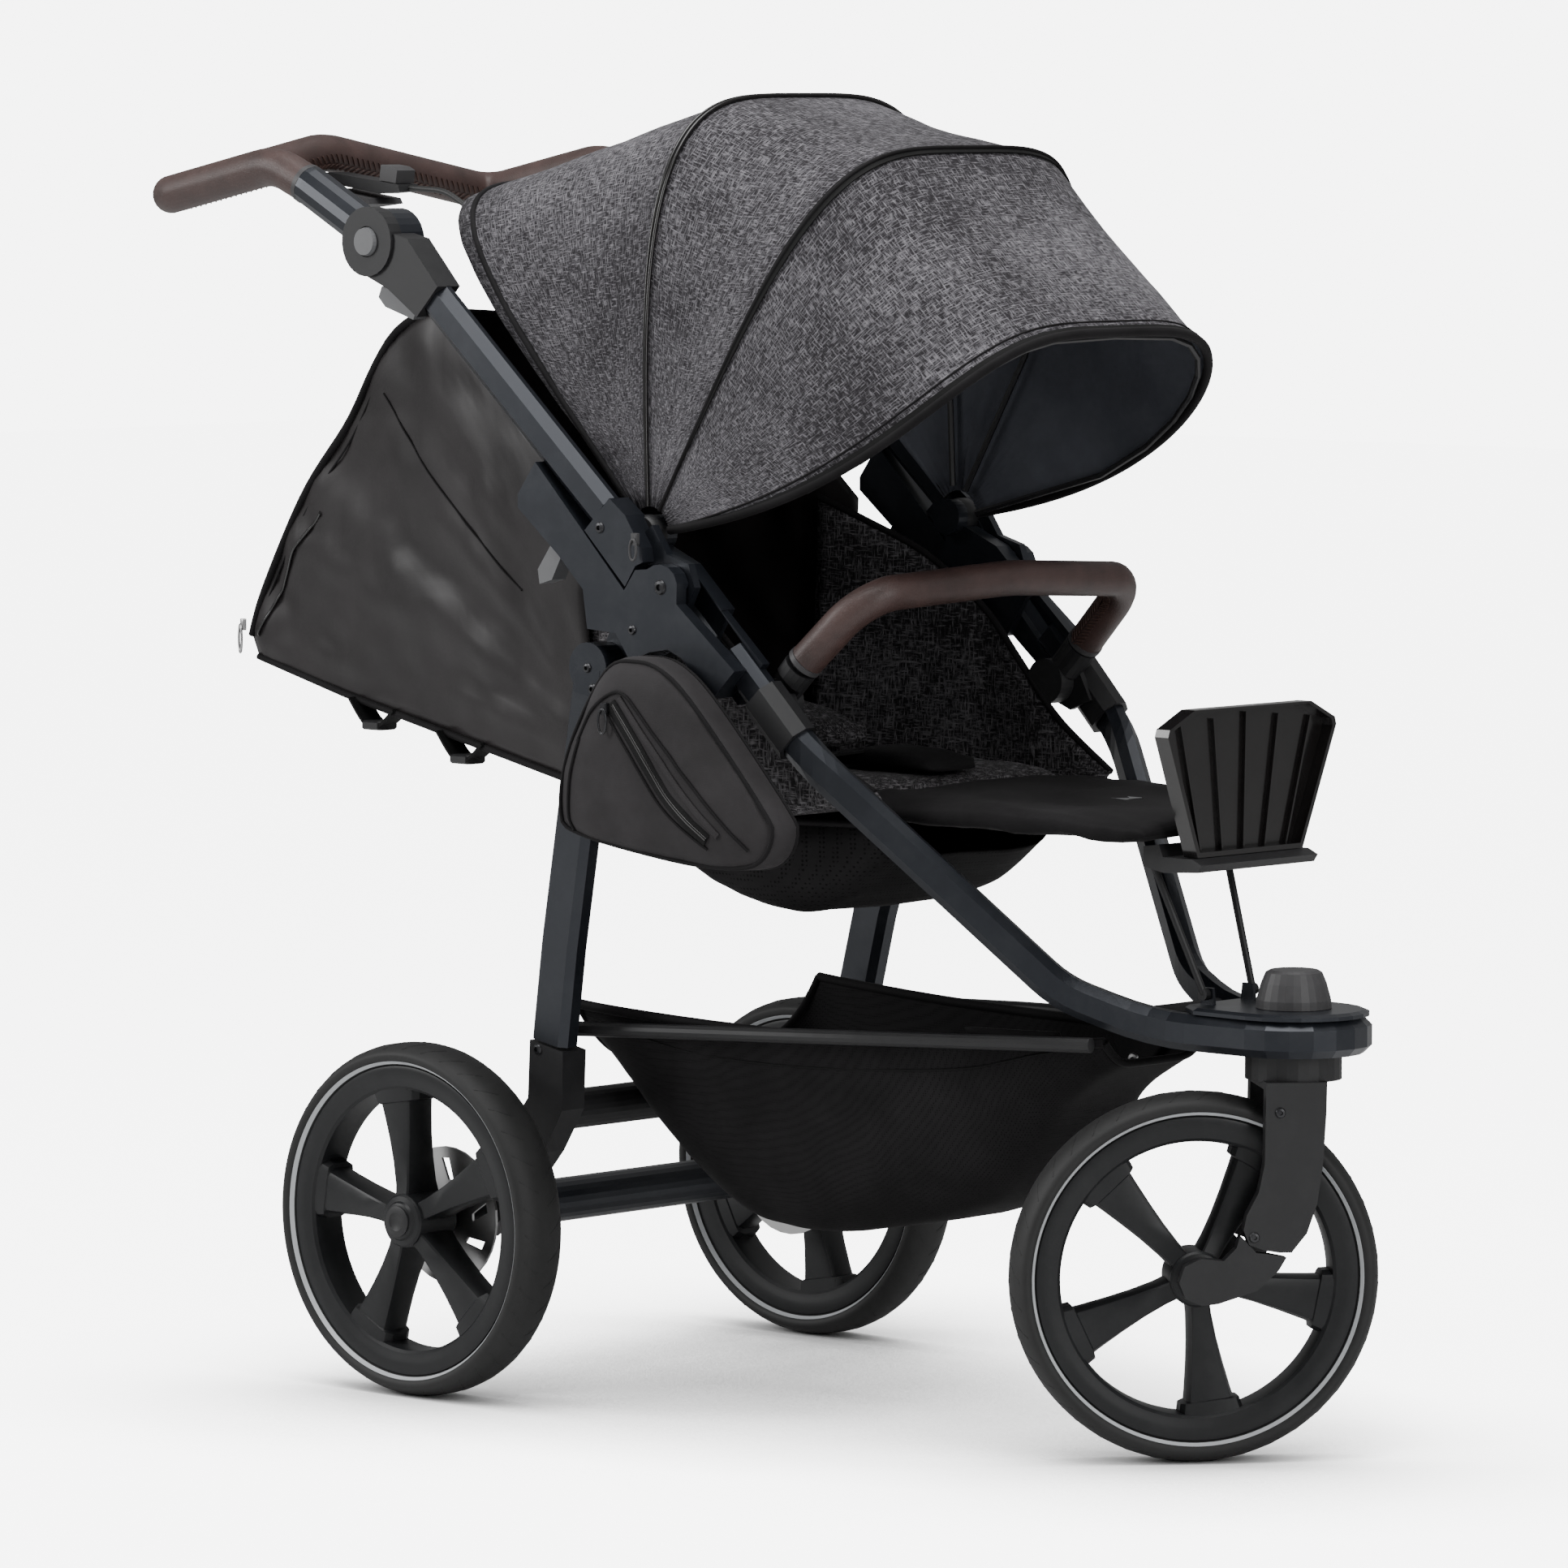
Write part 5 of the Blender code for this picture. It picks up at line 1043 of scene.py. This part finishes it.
def grip(name, half, radii, start, radius, body, inward):
    """Leather sleeve round a bar, with a herringbone lacing down its inner side."""
    path = rounded_path(mirrored(half), radii)
    path = section(path, start, length_of(path) - start, 240)
    shape = tube(f"{name}_leather", path, radius, LEATHER, body, "brown_leather", 24, smooth=80)
    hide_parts(f"{name}_grip")
    n = len(path)
    verts, faces, welt = [], [], []
    for i in range(1, n - 1):
        along = (path[i + 1] - path[i - 1]).normalized()
        inner = inward(path[i]) - path[i]
        inner = (inner - along * inner.dot(along)).normalized()
        across = along.cross(inner)
        welt.append(path[i] + inner * (radius + 0.0002))
        if i % 2:
            continue
        # Two slanted stitches meet on the welt at each step, making a chevron.
        for way in (-1, 1):
            base = len(verts)
            for k in range(5):
                t = k / 4
                turn = way * (0.04 + 0.42 * t)
                out = inner * math.cos(turn) + across * math.sin(turn)
                p = path[i] - along * (0.0058 * t)
                for d, h in ((-0.0011, -0.0006), (0.0011, -0.0006), (0.0007, 0.0012), (-0.0007, 0.0012)):
                    verts.append(p + along * d + out * (radius + h))
            faces += prism_faces(5, 4, base)
    add_piece(f"{name}_lacing", verts, faces, LACE, body, 40)
    for end_name, i in (("right", 0), ("left", -1)):
        ahead = (path[1] - path[0]) if i == 0 else (path[-2] - path[-1])
        ahead.normalize()
        tube(f"{name}_ring_{end_name}", [path[i] - ahead * 0.0014, path[i] + ahead * 0.0030],
             radius + 0.0007, DARK_GREY, body, "black_plastic", 32, smooth=40)
    return path


grip("handle", HANDLE, [0, .06, .022, .08, .022, .06, 0], 0.084, 0.0163, "handle",
     lambda p: Vector((at(-0.20, 0, 0).x, p.y * 0.45, 0.93)))
grip("bumper", BUMPER, [0, .045, .022, .2, .022, .045, 0], 0.046, 0.0145, "bumper",
     lambda p: Vector((at(0.30, 0, 0).x, p.y * 0.4, 0.56)))

# ---- screws, sunk into whatever surface lies there -------------------------------------------------
def tree_of(piece):
    return BVHTree.FromPolygons([piece.matrix_world @ v.co for v in piece.data.vertices],
                                [tuple(f.vertices) for f in piece.data.polygons])


OUTER = {name: tree_of(NODES[name]) for side_name in ("right", "left") for name in (
    f"hub_plate_{side_name}", f"rear_leg_{side_name}", f"upper_tube_{side_name}", f"leg_foot_{side_name}")}
OUTER["front_tube"] = tree_of(NODES["front_tube"])


def surface_at(x, z, side):
    """The outermost frame piece met from the side at x, z: its node and the point."""
    best = None
    for name, tree in OUTER.items():
        place, _, _, _ = tree.ray_cast(at(x, side * 0.4, z), Vector((0, -side, 0)))
        if place and (best is None or abs(place.y) > abs(best[1].y)):
            best = (NODES[name], place)
    return best


SCREWS = ((0.254, 0.681, 0.0062), (0.2229, 0.6452, 0.0040), (0.186, 0.7267, 0.0046),
          (0.3077, 0.6457, 0.0042), (0.1781, 0.5950, 0.0046), (0.1666, 0.5652, 0.0046),
          (0.0909, 0.2916, 0.0046), (0.172, 0.612, 0.0040))
for side_name, side in SIDES:
    for i, (x, z, r) in enumerate(SCREWS):
        found = surface_at(x, z, side)
        if found and abs(found[1].y) > 0.12 and body_of(found[0]):
            screw_head(f"screw_{side_name}_{i}", found[1], (0, side, 0), r, body_of(found[0])[0])
for i, (u, z) in enumerate(((-0.0179, 0.2807), (-0.0380, 0.1823))):
    for side_name, side in SIDES:
        screw_head(f"fork_screw_{side_name}_{i}", turn_fork @ Vector((u, side * 0.0412, z)),
                   turn_fork.to_3x3() @ Vector((0, side, 0)), 0.0042, "fork")

# ---- canopy trim: zip at the first bow, band over the second, front binding, hanging loop ----------
def canopy_band(name, s0, s1, lift, thick, mat):
    values, _ = even_u((s0 + s1) / 2, ARCH_POINTS)
    verts = []
    for u in values:
        for s, h in ((s0, lift), (s1, lift), (s1, lift + thick), (s0, lift + thick)):
            verts.append(canopy_point(s, u, h))
    return on_canopy(add_piece(name, verts, prism_faces(len(values), 4), mat, None, 50))


canopy_band("canopy_zip_tape", 0.985, 1.015, 0.0008, 0.0010, BLACK)
canopy_line("canopy_zip_teeth_rear", 0.990, 0.0014, GLOSS, 0.0024, sides=8)
canopy_line("canopy_zip_teeth_front", 1.010, 0.0014, GLOSS, 0.0024, sides=8)
canopy_band("canopy_bow_band", 1.982, 2.026, 0.0008, 0.0012, WEB)
canopy_band("canopy_front_band", 2.962, 3.004, 0.0010, 0.0014, WEB)
zip_pull("canopy_zip_pull", at(0.2290, -0.2215, 0.7190), "chassis", 0.017, side=(0, -1, 0), mat=DARK_GREY)
strap("canopy_hang_loop", [canopy_point(0.50, 0.5, 0.0010) + Vector((0, y, h)) for y, h in (
    (-0.020, 0.0), (-0.010, 0.006), (0.0, 0.008), (0.010, 0.006), (0.020, 0.0))],
    0.010, 0.0014, BLACK, "chassis", across=(1, 0, 0.3))

# ---- hood trim: stitched seam, zip at the rear, straps with buckles below the edge ----------------
def hood_path(points, side, out=0.0015, count=50):
    fine = resample(smooth_path([(x, 0, z) for x, z in points], 8), count)
    grid = cheek_points[side]
    result = []
    for q in fine:
        near = min(grid, key=lambda p: (p.x - (q.x - ORIGIN_X)) ** 2 + (p.z - q.z) ** 2)
        result.append(Vector((q.x - ORIGIN_X, near.y + side * out, q.z)))
    return smooth_path(result[::4] + [result[-1]], 4)


cheek_points = {side: cheek_grid(side) for side in (RIGHT, LEFT)}
HOOD_STITCH = [(-0.1300, 0.826), (-0.090, 0.782), (-0.040, 0.735), (0.036, 0.667)]
HOOD_ZIP = [(-0.222, 0.722), (-0.262, 0.684), (-0.290, 0.644), (-0.312, 0.614)]
for side_name, side in SIDES:
    piping(f"hood_stitch_{side_name}", hood_path(HOOD_STITCH, side), 0.0008, sides=6)
    piping(f"hood_zip_{side_name}", hood_path(HOOD_ZIP, side, 0.0014), 0.0026, GLOSS, flat=0.5)
    for k, (x, z) in enumerate(((-0.165, 0.5600), (-0.050, 0.5380))):
        y = side * (hood_half(x, z) - 0.002)
        strap(f"hood_strap_{side_name}_{k}", [at(x + 0.030, y, z - 0.002), at(x + 0.012, y, z - 0.016),
                                              at(x - 0.004, y, z - 0.014), at(x - 0.022, y, z + 0.006)],
              0.022, 0.0022, WEB, "chassis", across=(0, 1, 0.1))
        rings = []
        for h, w in ((-0.011, 0.009), (-0.009, 0.012), (0.009, 0.012), (0.011, 0.009)):
            rings.append([at(x + 0.004 + h, y + side * a * w, z - 0.0165 + b * 0.0040)
                          for a, b in octagon(0.6, 0.8)])
        solid(f"hood_buckle_{side_name}_{k}", rings, PLASTIC, "chassis", smooth=35)

# ---- basket trim: side flaps with a snap -----------------------------------------------------------
def basket_side(x, z, side, out=0.002):
    best = min(stations, key=lambda p: abs(p.x - x))
    ring = [basket_point(best, 0.5 + side * 0.5 * k / 60) for k in range(61)]
    near = min(ring, key=lambda q: abs(q.z - z))
    return at(x, near.y + side * out, z)


for side_name, side in SIDES:
    verts = []
    for i in range(15):
        t = i / 14
        x = 0.470 + 0.080 * t
        drop = 0.052 * math.sin(math.pi * min(1, max(0, 0.06 + 0.88 * t))) ** 0.7
        for j in range(6):
            z = 0.331 - drop * j / 5
            verts.append(basket_side(x, z, side, 0.0062 + 0.002 * math.sin(math.pi * j / 5)))
    flap = add_piece(f"basket_flap_{side_name}", verts, grid_faces(15, 6), BLACK, "chassis",
                     70)
    thicken(flap, 0.0016)
    screw_head(f"basket_snap_{side_name}", basket_side(0.510, 0.294, side, 0.0092), (0.1, side, 0),
               0.0058, "chassis", STEEL)

# ---- tag on the leg rest ---------------------------------------------------------------------------
rings = []
for h, w in ((-0.0008, 0.0100), (0.0004, 0.0108), (0.0016, 0.0100)):
    rings.append([at(0.560 + a * 0.0105, b * w, 0.5138 + h) for a, b in octagon(0.8, 0.8)])
solid("leg_pad_tag", rings, GREY, "leg_support", 35)


def prefixed(*starts):
    return [piece for piece in bpy.context.scene.objects if piece.name.startswith(starts)]


# Each basket piece gets a mesh of its own.
for piece in [basket] + prefixed("basket_hem", "basket_stitch", "basket_flap", "basket_snap"):
    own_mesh(piece)

# The brake cable bends between the handle, which tilts, and the upper frame.
cable = tube("brake_cable_sheath", resample(rounded_path(
    [at(-0.2530, 0, 0.9960), at(-0.2100, 0, 0.9940), at(-0.1360, 0, 0.9560), at(-0.1120, 0, 0.8720)],
    [0.06, 0.08]), 60), 0.0025, CABLE, None, "cable_sheath", 12, smooth=80)
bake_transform(cable, "handle", "upper_frame", start=at(-0.2530, 0, 0.9960), end=at(-0.1120, 0, 0.8720))
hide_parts("brake_cable")

# Softer edges on the moulded and welded frame pieces; some names stand for a right and a left one.
SOFT = {"front_fork": 0.0016, "swing_arm": 0.0014, "head_plate": 0.0018, "hub_plate": 0.0012,
        "leg_foot": 0.0016, "handle_knuckle": 0.0012, "bumper_clamp": 0.0012, "brake_lever": 0.0008,
        "brake_bracket": 0.0008, "footboard": 0.0010, "rear_crossbar": 0.0010, "front_crossbar": 0.0010,
        "upper_tube": 0.0010, "rear_leg": 0.0012, "swivel_knob": 0.0008}
for name, width in SOFT.items():
    for full in (name,) if name in NODES else (f"{name}_right", f"{name}_left"):
        bevel(NODES[full], width, 2, 28)


_, crown = even_u(1.0, 11)
for side_name in ("right", "left"):
    wall = bpy.data.objects[f"seat_wall_{side_name}"]


# ---- floor, light, camera --------------------------------------------------------------------------
FLOOR_GLOW, BACKDROP_GLOW, SKY_LIGHT, SHADOW_REACH = 6.0, 6.2, 0.30, 0.36
bpy.ops.mesh.primitive_plane_add(size=30, location=(0, 0, 0))
floor = bpy.context.object
floor.name = "floor"
floor_mat, floor_tree, floor_shader = new_material("floor_white", 0.9)
floor_shader.inputs["Base Color"].default_value = (0.80, 0.80, 0.80, 1)
floor_shader.inputs["Emission Color"].default_value = (1, 1, 1, 1)
# To the camera the floor glows as white as the backdrop; ambient occlusion dims that glow near the wheels, a
# painted contact shadow.
seen = node(floor_tree, "ShaderNodeLightPath").outputs["Is Camera Ray"]
cover = node(floor_tree, "ShaderNodeAmbientOcclusion", samples=6)
cover.inputs["Distance"].default_value = SHADOW_REACH
open_sky = math_node(floor_tree, "POWER", cover.outputs["AO"], 4.0)
glow = math_node(floor_tree, "MULTIPLY", math_node(floor_tree, "MULTIPLY", open_sky, seen), FLOOR_GLOW)
floor_tree.links.new(glow, floor_shader.inputs["Emission Strength"])
floor.data.materials.append(floor_mat)

world = bpy.data.worlds.new("studio")
world.use_nodes = True
world_tree = world.node_tree
background = world_tree.nodes["Background"]
background.inputs["Color"].default_value = (1, 1, 1, 1)
# The backdrop is brighter to the camera than the light it gives.
ray = node(world_tree, "ShaderNodeLightPath")
shown = math_node(world_tree, "MULTIPLY", ray.outputs["Is Camera Ray"], BACKDROP_GLOW)
world_tree.links.new(math_node(world_tree, "ADD", shown, SKY_LIGHT), background.inputs["Strength"])
bpy.context.scene.world = world


def softbox(name, place, target, size, watts):
    light = bpy.data.lights.new(name, "AREA")
    light.shape, light.size, light.size_y, light.energy = "RECTANGLE", size[0], size[1], watts
    lamp = bpy.data.objects.new(name, light)
    lamp.location = place
    lamp.rotation_euler = (Vector(target) - Vector(place)).to_track_quat("-Z", "Y").to_euler()
    bpy.context.scene.collection.objects.link(lamp)


softbox("top_light", (0.3, -0.4, 3.2), (0, 0, 0.5), (2.2, 2.2), 80)
softbox("side_light", (-2.6, -2.6, 2.2), (0, 0, 0.6), (1.1, 2.2), 82)
softbox("front_light", (3.4, -0.6, 1.6), (0, 0, 0.5), (0.8, 2.0), 40)

camera_data = bpy.data.cameras.new("camera")
CAMERA_PLACE, CAMERA_DOWN, CAMERA_TURN = (4.978, -5.183, 1.087), 4.83, 43.65
camera_data.lens, camera_data.sensor_width = 195.4, 36
camera_data.shift_x, camera_data.shift_y = 0.085, 0.011
camera_data.clip_end = 60
camera = bpy.data.objects.new("camera", camera_data)
camera.location = at(*CAMERA_PLACE)
camera.rotation_euler = (math.radians(90 - CAMERA_DOWN), 0, math.radians(CAMERA_TURN))
bpy.context.scene.collection.objects.link(camera)
bpy.context.scene.camera = camera

bpy.context.view_layer.update()
